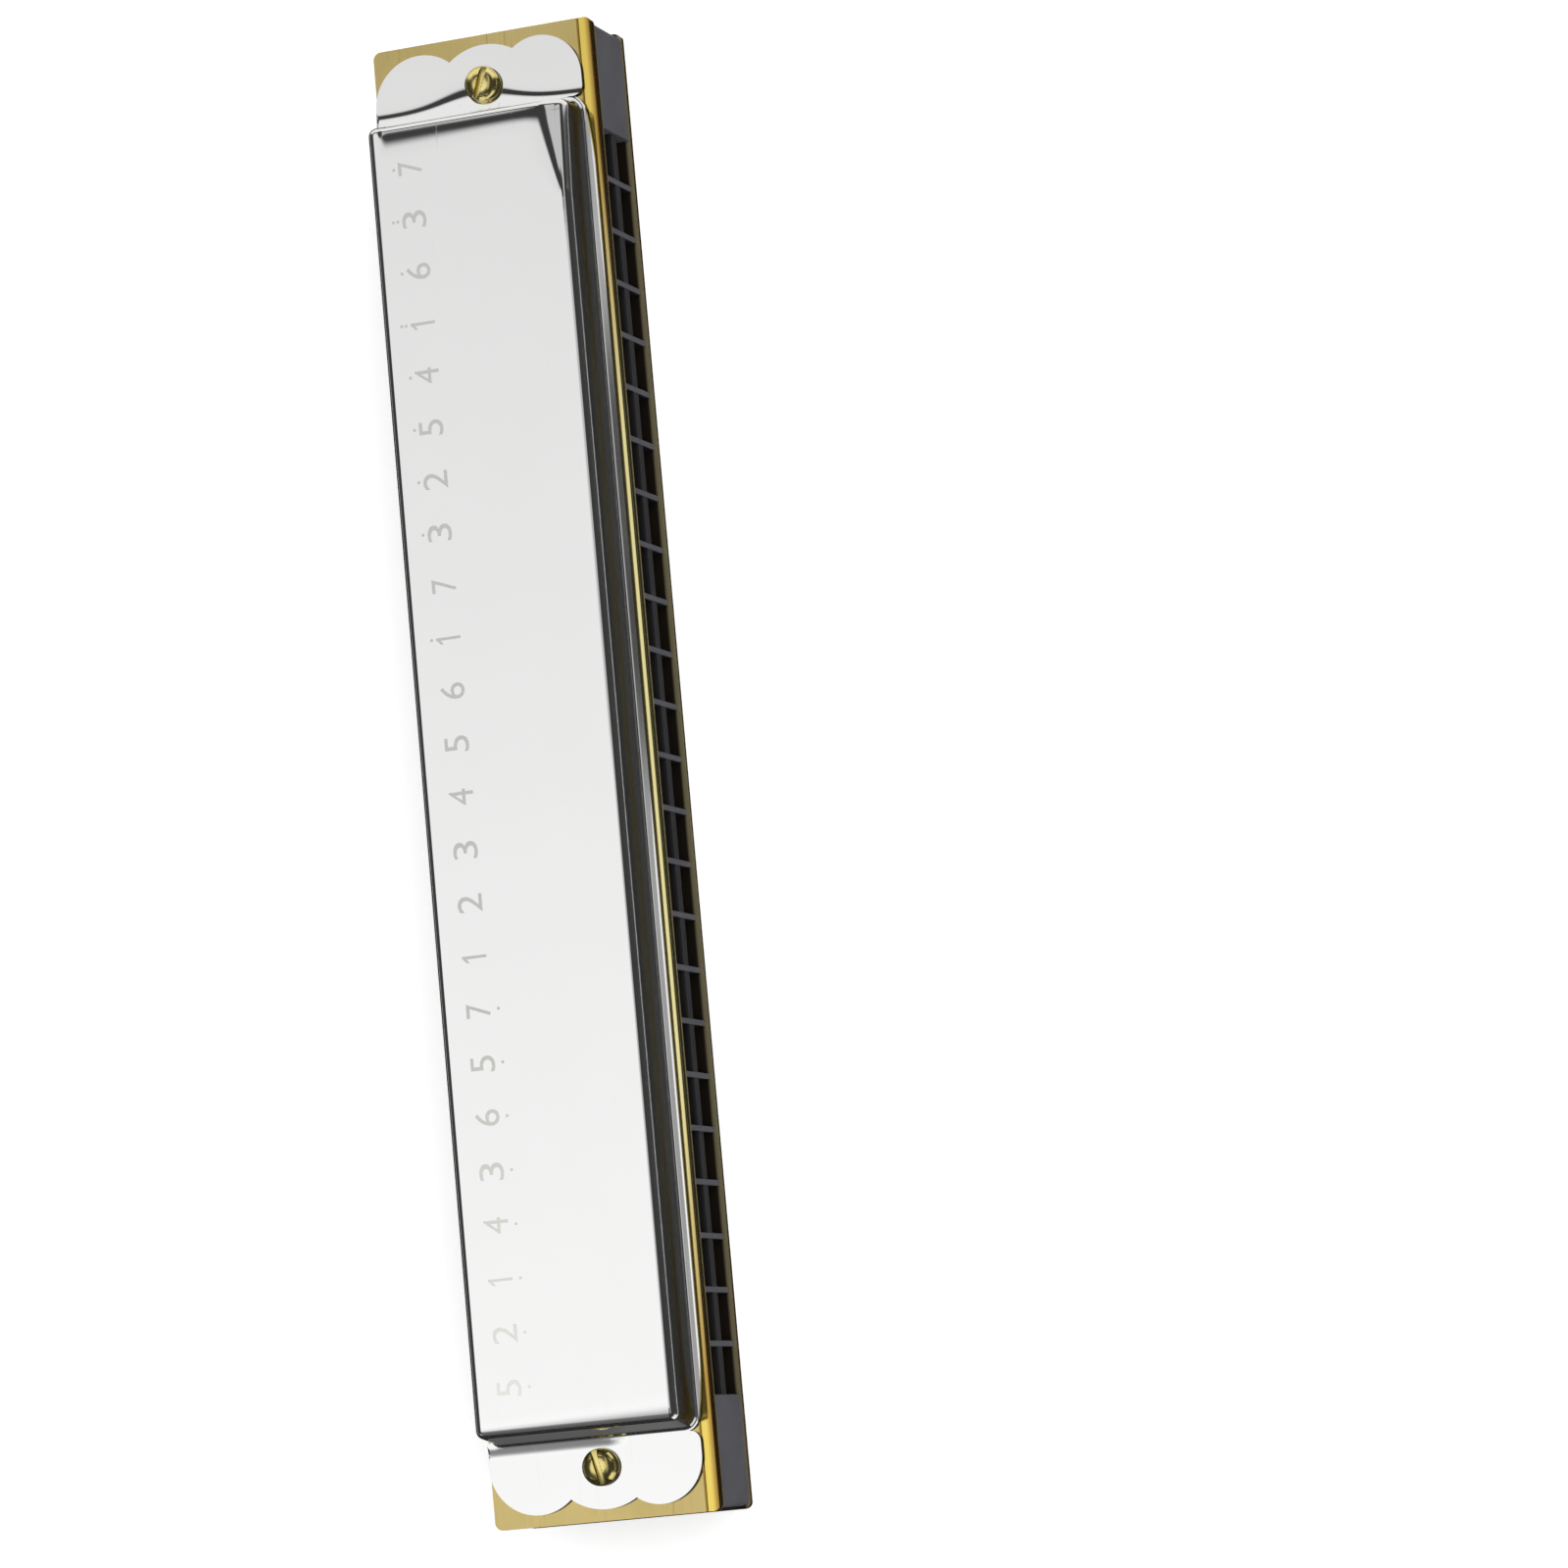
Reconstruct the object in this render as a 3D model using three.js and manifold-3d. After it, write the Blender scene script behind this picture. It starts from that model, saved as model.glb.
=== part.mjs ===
import * as THREE from 'three';
import { mergeVertices } from 'three/addons/utils/BufferGeometryUtils.js';
import Module from 'manifold-3d';

// A tremolo harmonica with 24 columns of holes, in millimetres.
// X runs along the notes, low notes at -X. The mouth side faces -Y and the covers are open at +Y.
// Z is up. The lower cover rests on Z = 0, and the instrument is alike above and below its middle.

const wasm = await Module();
wasm.setup();

// Note columns: one hole above another in each column, so 48 chambers and 48 reeds
const columnCount = 24;
const columnPitch = 6.54;
const partitionWall = 0.7;
const chamberHeight = 3.9;
const middleWall = 1.6;

// Reeds: length from the reed's pad to its tip, longest at the low end
const longestReed = 17;
const shortestReed = 9;
const widestReed = 2.5;
const narrowestReed = 2;
const reedThickness = 0.25;
const padLength = 3;
const padThickness = 0.5;
const padSideLap = 0.3;
const padLift = 0.2;

// Rivets that hold the reeds
const rivetRadius = 0.45;
const rivetHeadRadius = 0.75;
const rivetHeadHeight = 0.35;
const rivetHeadLift = 0.15;

// Running clearances of a reed in its plate
const slotSideGap = 0.15;
const slotTipGap = 0.25;
const rivetHoleGap = 0.15;

// Comb: a moulded body with a solid block at each end
const endBlockLength = 13.52;
const combRearWall = 3;
const reedEndGap = 0.5;
const combEndInset = 0.4;
const combRearInset = 0.3;
const combFrontInset = 0.1;
const combCornerRadius = 1;
const mouthRecess = 0.25;
const middleWallSetback = 0.1;

// Reed plates: flat brass with a rounded bead and a fine groove along the mouth edge
const plateThickness = 1.15;
const mouthMargin = 5.4;
const plateCornerRadius = 1;
const beadRadius = 0.4;
const beadWidth = 1.8;
const grooveWidth = 0.3;
const grooveDepth = 0.2;

// Covers: pressed steel sheet with a raised box, a front flange, a scalloped tab at each end and
// a lip turned down along the open rear
const sheetThickness = 0.5;
const coverHeight = 6.5;
const coverEndMargin = 2.52;
const coverRearInset = 0.8;
const flangeSetback = 0.9;
const flangeWidth = 1.06;
const frontWallLean = 0.14;
const endWallLean = 0.8;
const crownFrontRadius = 1.3;
const crownEndRadius = 0.8;
const crownRearRadius = 1;
const footFilletRadius = 0.3;
const rearLipDrop = 1.1;
const tabEndInset = 1.4;
const tabFrontInset = 1.7;

// Three lobes across a tab: centre and radius as shares of the tab's width, front lobe first
const lobeCentreShares = [0.2, 0.46, 0.775];
const lobeRadiusShares = [0.2, 0.273, 0.225];

// Bolts that clamp covers, plates and comb together, one at each end, and their nuts
const boltRadius = 1.45;
const boltHoleGap = 0.2;
const boltHeadRadius = 2.3;
const boltHeadRim = 0.5;
const boltHeadHeight = 1.7;
const boltHeadWallGap = 1.1;
const boltTipLength = 0.3;
const slotWidth = 0.8;
const slotDepth = 0.9;
const highBoltTurn = THREE.MathUtils.degToRad(-20);
const lowBoltTurn = THREE.MathUtils.degToRad(13);
const nutFlatRadius = 2.5;
const nutThickness = 1.6;

// Pins through the comb's rear wall that hold the two plates to it
const pinRadius = 0.6;
const pinHoleGap = 0.15;
const pinHeadRadius = 1;
const pinHeadHeight = 0.4;
const pinColumnStep = 8;

// How far each cut runs past the material it cuts
const overrun = 1;

// Facets on round stretches
const smallRoundSides = 8;
const roundSides = 16;
const arcSteps = 4;
const nutSides = 6;

// Sizes that follow from the ones above
const columnsHalf = columnCount * columnPitch / 2;
const plateHalfLength = columnsHalf + endBlockLength;
const reedSpan = padLength + longestReed;
const plateWidth = mouthMargin + reedSpan + reedEndGap + combRearWall + combRearInset;
const plateFront = -plateWidth / 2;
const plateRear = plateWidth / 2;
const reedMiddle = plateFront + mouthMargin + reedSpan / 2;
const combHalfHeight = chamberHeight + middleWall / 2;
const rivetLevel = combHalfHeight + plateThickness / 2;
const plateTop = combHalfHeight + plateThickness;
const halfHeight = plateTop + coverHeight;
const tabTop = plateTop + sheetThickness;
const coverWallFront = plateFront + flangeSetback + flangeWidth;
const coverRear = plateRear - coverRearInset;
const coverEnd = columnsHalf + coverEndMargin;
const coverFootEnd = coverEnd + endWallLean + footFilletRadius;
const tabEnd = plateHalfLength - tabEndInset;
const boltX = coverFootEnd + boltHeadWallGap + boltHeadRadius;
const pinY = plateRear - combRearInset - combRearWall / 2;

// Finishes
const chrome = { color: 0xdcdee2, roughness: 0.08, metalness: 1 };
const plateBrass = { color: 0xb79a4c, roughness: 0.32, metalness: 1 };
const reedBrass = { color: 0xcbb067, roughness: 0.3, metalness: 1 };
const boltBrass = { color: 0xd6b44a, roughness: 0.18, metalness: 1 };
const combPlastic = { color: 0x2b2b2e, roughness: 0.5, metalness: 0 };

// A closed three.js geometry as a solid that can be joined and cut
function toSolid(geometry) {
  const bare = geometry.clone();
  bare.deleteAttribute('normal');
  bare.deleteAttribute('uv');
  const merged = mergeVertices(bare);
  const vertProperties = new Float32Array(merged.attributes.position.array);
  const triVerts = new Uint32Array(merged.index.array);
  return new wasm.Manifold(new wasm.Mesh({ numProp: 3, vertProperties, triVerts }));
}

// A joined or cut solid as a three.js geometry
function toGeometry(solid) {
  const mesh = solid.getMesh();
  const geometry = new THREE.BufferGeometry();
  const places = new Float32Array(mesh.numVert * 3);
  for (let i = 0; i < mesh.numVert; i += 1) {
    for (let axis = 0; axis < 3; axis += 1) {
      places[i * 3 + axis] = mesh.vertProperties[i * mesh.numProp + axis];
    }
  }
  geometry.setAttribute('position', new THREE.BufferAttribute(places, 3));
  geometry.setIndex(Array.from(mesh.triVerts));
  const flat = geometry.toNonIndexed();
  flat.computeVertexNormals();
  return flat;
}

// The same geometry mirrored along one axis, with its faces still pointing out
function mirrored(geometry, axis) {
  const copy = geometry.clone();
  const places = copy.attributes.position;
  for (let i = 0; i < places.count; i += 3) {
    const corners = [0, 2, 1].map((step) => new THREE.Vector3().fromBufferAttribute(places, i + step));
    corners.forEach((corner, step) => {
      corner[axis] *= -1;
      places.setXYZ(i + step, corner.x, corner.y, corner.z);
    });
  }
  copy.computeVertexNormals();
  return copy;
}

// A box between two corners given in any order
function block(x0, x1, y0, y1, z0, z1) {
  const size = [Math.abs(x1 - x0), Math.abs(y1 - y0), Math.abs(z1 - z0)];
  const box = new THREE.BoxGeometry(...size);
  box.translate((x0 + x1) / 2, (y0 + y1) / 2, (z0 + z1) / 2);
  return toSolid(box);
}

// An upright round post between two heights given in any order
function post(x, y, radius, z0, z1, sides) {
  const cylinder = new THREE.CylinderGeometry(radius, radius, Math.abs(z1 - z0), sides);
  cylinder.rotateX(Math.PI / 2);
  cylinder.translate(x, y, (z0 + z1) / 2);
  return toSolid(cylinder);
}

function extruded(shape, depth) {
  return new THREE.ExtrudeGeometry(shape, { depth, steps: 1, bevelEnabled: false, curveSegments: arcSteps });
}

// A plan outline raised from z0 to z1
function raised(shape, z0, z1) {
  const geometry = extruded(shape, z1 - z0);
  geometry.translate(0, 0, z0);
  return toSolid(geometry);
}

// A section drawn in Y and Z, run along X over the given half length
function runAlongX(shape, halfLength) {
  const geometry = extruded(shape, 2 * halfLength);
  const basis = new THREE.Matrix4().makeBasis(
    new THREE.Vector3(0, 1, 0), new THREE.Vector3(0, 0, 1), new THREE.Vector3(1, 0, 0));
  geometry.applyMatrix4(basis);
  geometry.translate(-halfLength, 0, 0);
  return toSolid(geometry);
}

// A section drawn in X and Z, run along Y from front to rear
function runAlongY(shape, front, rear) {
  const geometry = extruded(shape, rear - front);
  const basis = new THREE.Matrix4().makeBasis(
    new THREE.Vector3(1, 0, 0), new THREE.Vector3(0, 0, 1), new THREE.Vector3(0, -1, 0));
  geometry.applyMatrix4(basis);
  geometry.translate(0, rear, 0);
  return toSolid(geometry);
}

// A rectangle with four rounded corners, seen from above
function roundedRectangle(halfLength, front, rear, radius) {
  const shape = new THREE.Shape();
  shape.absarc(halfLength - radius, rear - radius, radius, 0, Math.PI / 2);
  shape.absarc(-halfLength + radius, rear - radius, radius, Math.PI / 2, Math.PI);
  shape.absarc(-halfLength + radius, front + radius, radius, Math.PI, 3 * Math.PI / 2);
  shape.absarc(halfLength - radius, front + radius, radius, 3 * Math.PI / 2, 2 * Math.PI);
  return shape;
}

// Place of column number k, counted from the low end
function columnX(k) {
  return (k - (columnCount - 1) / 2) * columnPitch;
}

// Sizes of the reed in column k: lengths shrink by a steady ratio, widths by a steady step
function reedSizes(k) {
  const along = k / (columnCount - 1);
  const length = longestReed * Math.pow(shortestReed / longestReed, along);
  const width = widestReed + (narrowestReed - widestReed) * along;
  return { length, width };
}

// The first, third and each odd column is blown, and its reeds lie in the chamber with the rivet
// at the mouth end. The even ones are drawn, and their reeds lie outside with the rivet at the rear.
function isBlown(k) {
  return k % 2 === 0;
}

// Where column k's rivet sits, and which way its tongue points from there
function rivetPlace(k) {
  const { length } = reedSizes(k);
  const tongueWay = isBlown(k) ? 1 : -1;
  const y = reedMiddle - tongueWay * (padLength + length) / 2 + tongueWay * padLength / 2;
  return { y, tongueWay };
}

// One reed: a springy tongue with its pad and the rivet that holds it, drawn round the rivet's
// middle, which lies halfway through the plate
function reedGeometry(k, faceWay) {
  const { length, width } = reedSizes(k);
  const { tongueWay } = rivetPlace(k);
  const face = plateThickness / 2;
  const padFoot = face + padLift;
  const padTop = padFoot + padThickness;
  const padHalfWidth = width / 2 + padSideLap;
  const pad = block(-padHalfWidth, padHalfWidth, -padLength / 2, padLength / 2,
    faceWay * padFoot, faceWay * padTop);
  const tongue = block(-width / 2, width / 2, 0, tongueWay * (padLength / 2 + length),
    faceWay * padFoot, faceWay * (padFoot + reedThickness));
  const farFace = face + rivetHeadLift;
  const head = post(0, 0, rivetHeadRadius, faceWay * padFoot, faceWay * (padTop + rivetHeadHeight),
    smallRoundSides);
  const farHead = post(0, 0, rivetHeadRadius, -faceWay * farFace,
    -faceWay * (farFace + rivetHeadHeight), smallRoundSides);
  const shank = post(0, 0, rivetRadius, faceWay * padTop, -faceWay * (farFace + rivetHeadHeight),
    smallRoundSides);
  return toGeometry(pad.add(tongue).add(head).add(shank).add(farHead));
}

// Section of a reed plate: flat, with a groove and a rounded bead at the mouth edge
function plateSection() {
  const groove = plateFront + beadWidth;
  const shape = new THREE.Shape();
  shape.moveTo(plateRear, combHalfHeight);
  shape.lineTo(plateRear, plateTop);
  shape.lineTo(groove + grooveWidth / 2, plateTop);
  shape.lineTo(groove, plateTop - grooveDepth);
  shape.lineTo(groove - grooveWidth / 2, plateTop);
  shape.absarc(plateFront + beadRadius, plateTop - beadRadius, beadRadius, Math.PI / 2, Math.PI);
  shape.lineTo(plateFront, combHalfHeight);
  return shape;
}

// Slot in a plate for the tongue of column k, from the pad's edge to just past the tip
function reedSlot(k) {
  const { length, width } = reedSizes(k);
  const { y, tongueWay } = rivetPlace(k);
  const halfWidth = width / 2 + slotSideGap;
  const root = y + tongueWay * padLength / 2;
  const tip = root + tongueWay * (length + slotTipGap);
  return block(columnX(k) - halfWidth, columnX(k) + halfWidth, root, tip,
    combHalfHeight - overrun, plateTop + overrun);
}

// Holes that the two bolts and the pins need in a plate or the comb
function fastenerHoles(z0, z1) {
  const holes = [-boltX, boltX].map((x) =>
    post(x, 0, boltRadius + boltHoleGap, z0, z1, roundSides));
  pinPlaces().forEach((x) => holes.push(post(x, pinY, pinRadius + pinHoleGap, z0, z1, smallRoundSides)));
  return holes;
}

// The pins stand a few columns apart, the middle one at the middle
function pinPlaces() {
  return [-1, 0, 1].map((step) => step * pinColumnStep * columnPitch);
}

function upperPlateGeometry() {
  const outline = roundedRectangle(plateHalfLength, plateFront, plateRear, plateCornerRadius);
  const z0 = combHalfHeight - overrun;
  const z1 = plateTop + overrun;
  let plate = runAlongX(plateSection(), plateHalfLength + overrun).intersect(raised(outline, z0, z1));
  for (let k = 0; k < columnCount; k += 1) {
    const hole = post(columnX(k), rivetPlace(k).y, rivetRadius + rivetHoleGap, z0, z1, smallRoundSides);
    plate = plate.subtract(reedSlot(k)).subtract(hole);
  }
  fastenerHoles(z0, z1).forEach((hole) => { plate = plate.subtract(hole); });
  return toGeometry(plate);
}

// The comb: two rows of chambers, open to the mouth and to the plate above or below them. The wall
// between the rows starts a little behind the partitions.
function combGeometry() {
  const front = plateFront + combFrontInset;
  const rear = plateRear - combRearInset;
  const outline = roundedRectangle(plateHalfLength - combEndInset, front, rear, combCornerRadius);
  let comb = raised(outline, -combHalfHeight, combHalfHeight);
  const halfWidth = (columnPitch - partitionWall) / 2;
  const lips = columnsHalf - partitionWall / 2;
  const past = combHalfHeight + overrun;
  comb = comb.subtract(block(-lips, lips, front - overrun, front + mouthRecess, -past, past));
  for (let k = 0; k < columnCount; k += 1) {
    const x0 = columnX(k) - halfWidth;
    const x1 = columnX(k) + halfWidth;
    [-1, 1].forEach((way) => {
      const z0 = way * middleWall / 2;
      comb = comb.subtract(block(x0, x1, front - overrun, rear - combRearWall, z0, way * past));
    });
    comb = comb.subtract(block(x0, x1, front - overrun, front + mouthRecess + middleWallSetback, -past, past));
  }
  fastenerHoles(-past, past).forEach((hole) => { comb = comb.subtract(hole); });
  return toGeometry(comb);
}

// Section across a cover's box, outer skin: open rear on the right, front wall and its foot on the left
function coverOuterSection() {
  const crown = plateTop + coverHeight;
  const wallTop = coverWallFront + frontWallLean;
  const fillet = footFilletRadius;
  const shape = new THREE.Shape();
  shape.moveTo(coverRear, plateTop);
  shape.lineTo(coverRear, crown - crownRearRadius);
  shape.absarc(coverRear - crownRearRadius, crown - crownRearRadius, crownRearRadius, 0, Math.PI / 2);
  shape.absarc(wallTop + crownFrontRadius, crown - crownFrontRadius, crownFrontRadius,
    Math.PI / 2, Math.PI);
  shape.absarc(coverWallFront - fillet, tabTop + fillet, fillet, 0, -Math.PI / 2, true);
  shape.lineTo(coverWallFront - fillet, plateTop);
  return shape;
}

// The space inside the box in the same section, running out past the rear and below
function coverInnerSection() {
  const ceiling = plateTop + coverHeight - sheetThickness;
  const wallTop = coverWallFront + frontWallLean + sheetThickness;
  const radius = crownFrontRadius - sheetThickness;
  const shape = new THREE.Shape();
  shape.moveTo(coverRear + overrun, plateTop - overrun);
  shape.lineTo(coverRear + overrun, ceiling);
  shape.absarc(wallTop + radius, ceiling - radius, radius, Math.PI / 2, Math.PI);
  shape.lineTo(coverWallFront + sheetThickness, plateTop);
  shape.lineTo(coverWallFront + sheetThickness, plateTop - overrun);
  return shape;
}

// Section along a cover's box, outer skin, with an end wall and its foot at each side
function coverOuterLengthSection() {
  const crown = plateTop + coverHeight;
  const radius = crownEndRadius;
  const fillet = footFilletRadius;
  const foot = coverEnd + endWallLean;
  const shape = new THREE.Shape();
  shape.moveTo(foot + fillet, plateTop);
  shape.lineTo(foot + fillet, tabTop);
  shape.absarc(foot + fillet, tabTop + fillet, fillet, 3 * Math.PI / 2, Math.PI, true);
  shape.absarc(coverEnd - radius, crown - radius, radius, 0, Math.PI / 2);
  shape.absarc(-coverEnd + radius, crown - radius, radius, Math.PI / 2, Math.PI);
  shape.absarc(-foot - fillet, tabTop + fillet, fillet, 0, -Math.PI / 2, true);
  shape.lineTo(-foot - fillet, plateTop);
  return shape;
}

function coverInnerLengthSection() {
  const ceiling = plateTop + coverHeight - sheetThickness;
  const top = coverEnd - sheetThickness;
  const foot = coverEnd + endWallLean - sheetThickness;
  const radius = crownEndRadius - sheetThickness;
  const shape = new THREE.Shape();
  shape.moveTo(foot, plateTop - overrun);
  shape.lineTo(foot, plateTop);
  shape.absarc(top - radius, ceiling - radius, radius, 0, Math.PI / 2);
  shape.absarc(-top + radius, ceiling - radius, radius, Math.PI / 2, Math.PI);
  shape.lineTo(-foot, plateTop);
  shape.lineTo(-foot, plateTop - overrun);
  return shape;
}

// Where two lobes of a tab's edge meet, as the angle on the first one and on the second one
function lobeMeeting(first, second) {
  const dx = second.x - first.x;
  const dy = second.y - first.y;
  const apart = Math.hypot(dx, dy);
  const along = (first.radius ** 2 - second.radius ** 2 + apart ** 2) / (2 * apart);
  const aside = Math.sqrt(first.radius ** 2 - along ** 2);
  const x = first.x + (dx * along + dy * aside) / apart;
  const y = first.y + (dy * along - dx * aside) / apart;
  return {
    onFirst: Math.atan2(y - first.y, x - first.x),
    onSecond: Math.atan2(y - second.y, x - second.x),
  };
}

// A tab at the high end, seen from above: straight sides and three lobes
function tabOutline() {
  const front = plateFront + tabFrontInset;
  const width = plateRear - front;
  const lobes = lobeCentreShares.map((share, i) => {
    const radius = lobeRadiusShares[i] * width;
    return { x: tabEnd - radius, y: front + share * width, radius };
  });
  const [frontLobe, middleLobe, rearLobe] = lobes;
  const frontMeeting = lobeMeeting(frontLobe, middleLobe);
  const rearMeeting = lobeMeeting(middleLobe, rearLobe);
  const inner = coverEnd - crownEndRadius;
  const shape = new THREE.Shape();
  shape.moveTo(inner, front);
  shape.lineTo(frontLobe.x, front);
  shape.absarc(frontLobe.x, frontLobe.y, frontLobe.radius, -Math.PI / 2, frontMeeting.onFirst);
  shape.absarc(middleLobe.x, middleLobe.y, middleLobe.radius, frontMeeting.onSecond, rearMeeting.onFirst);
  shape.absarc(rearLobe.x, rearLobe.y, rearLobe.radius, rearMeeting.onSecond, Math.PI / 2);
  shape.lineTo(inner, plateRear);
  return shape;
}

function tabSolids() {
  const tab = extruded(tabOutline(), sheetThickness);
  tab.translate(0, 0, plateTop);
  return [toSolid(tab), toSolid(mirrored(tab, 'x'))];
}

function upperCoverGeometry() {
  const outer = runAlongX(coverOuterSection(), coverFootEnd)
    .intersect(runAlongY(coverOuterLengthSection(), plateFront, plateRear));
  const crown = plateTop + coverHeight;
  const lip = block(-coverFootEnd, coverFootEnd, coverRear - sheetThickness, coverRear + overrun,
    crown - rearLipDrop, crown);
  const inner = runAlongX(coverInnerSection(), coverFootEnd)
    .intersect(runAlongY(coverInnerLengthSection(), plateFront, plateRear + overrun))
    .subtract(lip);
  const flangeFront = plateFront + flangeSetback;
  let skirt = block(-coverFootEnd, coverFootEnd, flangeFront, coverWallFront, plateTop, tabTop);
  tabSolids().forEach((tab) => { skirt = skirt.add(tab); });
  let cover = outer.add(skirt).subtract(inner);
  [-boltX, boltX].forEach((x) => {
    cover = cover.subtract(post(x, 0, boltRadius + boltHoleGap,
      plateTop - overrun, tabTop + overrun, roundSides));
  });
  return toGeometry(cover);
}

// A bolt drawn round its own axis, with a domed and slotted head on the upper tab
function boltGeometry(turn) {
  const headTop = tabTop + boltHeadHeight;
  const tip = -tabTop - nutThickness - boltTipLength;
  const dome = new THREE.EllipseCurve(0, tabTop + boltHeadRim, boltHeadRadius,
    boltHeadHeight - boltHeadRim, 0, Math.PI / 2).getPoints(arcSteps);
  const profile = [
    new THREE.Vector2(0, tip),
    new THREE.Vector2(boltRadius, tip),
    new THREE.Vector2(boltRadius, tabTop),
    new THREE.Vector2(boltHeadRadius, tabTop),
    ...dome.slice(0, -1),
    new THREE.Vector2(0, headTop),
  ];
  const lathe = new THREE.LatheGeometry(profile, roundSides);
  lathe.rotateX(Math.PI / 2);
  const slot = new THREE.BoxGeometry(2 * (boltHeadRadius + overrun), slotWidth, slotDepth + overrun);
  slot.translate(0, 0, headTop - slotDepth + (slotDepth + overrun) / 2);
  slot.rotateZ(turn);
  return toGeometry(toSolid(lathe).subtract(toSolid(slot)));
}

// A six-sided nut under the lower tab
function nutGeometry() {
  const corner = nutFlatRadius / Math.cos(Math.PI / nutSides);
  const top = -tabTop;
  const hexagon = post(0, 0, corner, top - nutThickness, top, nutSides);
  const bore = post(0, 0, boltRadius + boltHoleGap, top - nutThickness - overrun, top + overrun, roundSides);
  return toGeometry(hexagon.subtract(bore));
}

// A pin with a flat head on each plate
function pinGeometry() {
  const end = plateTop + pinHeadHeight;
  const shank = post(0, 0, pinRadius, -end, end, smallRoundSides);
  const upperHead = post(0, 0, pinHeadRadius, plateTop, end, smallRoundSides);
  const lowerHead = post(0, 0, pinHeadRadius, -end, -plateTop, smallRoundSides);
  return toGeometry(shank.add(upperHead).add(lowerHead));
}

function named(name, geometry, finish, x, y, z) {
  const mesh = new THREE.Mesh(geometry, new THREE.MeshStandardMaterial(finish));
  mesh.name = name;
  mesh.position.set(x, y, z);
  return mesh;
}

// The whole instrument, drawn round its middle and then lifted onto its lower cover
const harmonica = new THREE.Group();
harmonica.position.z = halfHeight;

const upperPlate = upperPlateGeometry();
const upperCover = upperCoverGeometry();
harmonica.add(named('comb', combGeometry(), combPlastic, 0, 0, 0));
harmonica.add(named('upper_reed_plate', upperPlate, plateBrass, 0, 0, 0));
harmonica.add(named('lower_reed_plate', mirrored(upperPlate, 'z'), plateBrass, 0, 0, 0));
harmonica.add(named('upper_cover', upperCover, chrome, 0, 0, 0));
harmonica.add(named('lower_cover', mirrored(upperCover, 'z'), chrome, 0, 0, 0));

pinPlaces().forEach((x, i) => {
  harmonica.add(named(`plate_pin_${i + 1}`, pinGeometry(), reedBrass, x, pinY, 0));
});

const boltEnds = [
  { end: 'low_end', x: -boltX, turn: lowBoltTurn },
  { end: 'high_end', x: boltX, turn: highBoltTurn },
];
boltEnds.forEach(({ end, x, turn }) => {
  harmonica.add(named(`bolt_${end}`, boltGeometry(turn), boltBrass, x, 0, 0));
  harmonica.add(named(`nut_${end}`, nutGeometry(), boltBrass, x, 0, 0));
});

for (let k = 0; k < columnCount; k += 1) {
  const number = String(k + 1).padStart(2, '0');
  const outward = isBlown(k) ? -1 : 1;
  const { y } = rivetPlace(k);
  harmonica.add(named(`reed_upper_${number}`, reedGeometry(k, outward), reedBrass,
    columnX(k), y, rivetLevel));
  harmonica.add(named(`reed_lower_${number}`, reedGeometry(k, -outward), reedBrass,
    columnX(k), y, -rivetLevel));
}

export default harmonica;
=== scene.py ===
from math import acos, asin, atan2, cos, exp, hypot, log1p, pi, radians, sin, tan

import bmesh
import bpy
from mathutils import Matrix, Vector
from mathutils.geometry import delaunay_2d_cdt


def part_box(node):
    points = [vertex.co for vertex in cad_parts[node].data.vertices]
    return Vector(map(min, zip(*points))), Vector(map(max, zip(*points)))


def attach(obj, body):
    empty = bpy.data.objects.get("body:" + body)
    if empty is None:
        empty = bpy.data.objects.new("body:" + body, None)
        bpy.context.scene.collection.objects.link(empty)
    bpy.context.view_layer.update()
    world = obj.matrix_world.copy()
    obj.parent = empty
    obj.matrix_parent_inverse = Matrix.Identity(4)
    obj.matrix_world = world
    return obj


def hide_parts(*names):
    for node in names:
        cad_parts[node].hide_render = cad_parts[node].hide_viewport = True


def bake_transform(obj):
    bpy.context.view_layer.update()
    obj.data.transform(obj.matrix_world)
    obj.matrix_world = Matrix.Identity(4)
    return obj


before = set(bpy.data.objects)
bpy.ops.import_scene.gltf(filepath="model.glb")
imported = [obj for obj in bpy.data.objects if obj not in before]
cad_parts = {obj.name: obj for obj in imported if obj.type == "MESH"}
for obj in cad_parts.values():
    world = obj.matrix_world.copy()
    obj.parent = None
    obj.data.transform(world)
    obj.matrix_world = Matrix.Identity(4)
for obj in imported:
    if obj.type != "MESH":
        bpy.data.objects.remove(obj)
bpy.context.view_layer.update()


# Comb: the body that everything else is screwed and pinned to, with two rows of chambers.
# It is black plastic, moulded in one shot, with small rounded edges and a fine grain.
# The chambers are open to the mouth and to the plate above or below them.
mm = 0.001
comb_low, comb_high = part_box("comb")
column_count = 24
column_pitch = 6.54 * mm
partition_wall = 0.7 * mm
chamber_height = 3.9 * mm
middle_wall = 1.6 * mm
middle_wall_setback = 0.1 * mm
comb_rear_wall = 3 * mm
mouth_recess = 0.25 * mm
comb_corner = 1 * mm
comb_edge = 0.16 * mm
head_radius = 2.3 * mm
bolt_y = 0 * mm
bolt_hole_radius = 1.65 * mm
pin_hole_radius = 0.75 * mm
columns_between_pins = 8
hole_sides = 24
# Painted shade in the chambers: these sizes set where it fades at the column ends, starts, deepens and stops
# before the rear
lip_fade = 0.05 * mm
chamber_shade_start = 0.12 * mm
chamber_shade_full = 0.6 * mm
first_shade_share = 0.84
deep_shade_share = 0.12
unshaded_rear = 1 * mm
overrun = 1 * mm

columns_half = column_count * column_pitch / 2
middle_level = (comb_low.z + comb_high.z) / 2
bolt_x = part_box("bolt_high_end")[1].x - head_radius
pin_low, pin_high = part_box("plate_pin_1")
pin_y = (pin_low.y + pin_high.y) / 2
pin_step = columns_between_pins * column_pitch


def column_x(k):
    return (k - (column_count - 1) / 2) * column_pitch


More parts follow.
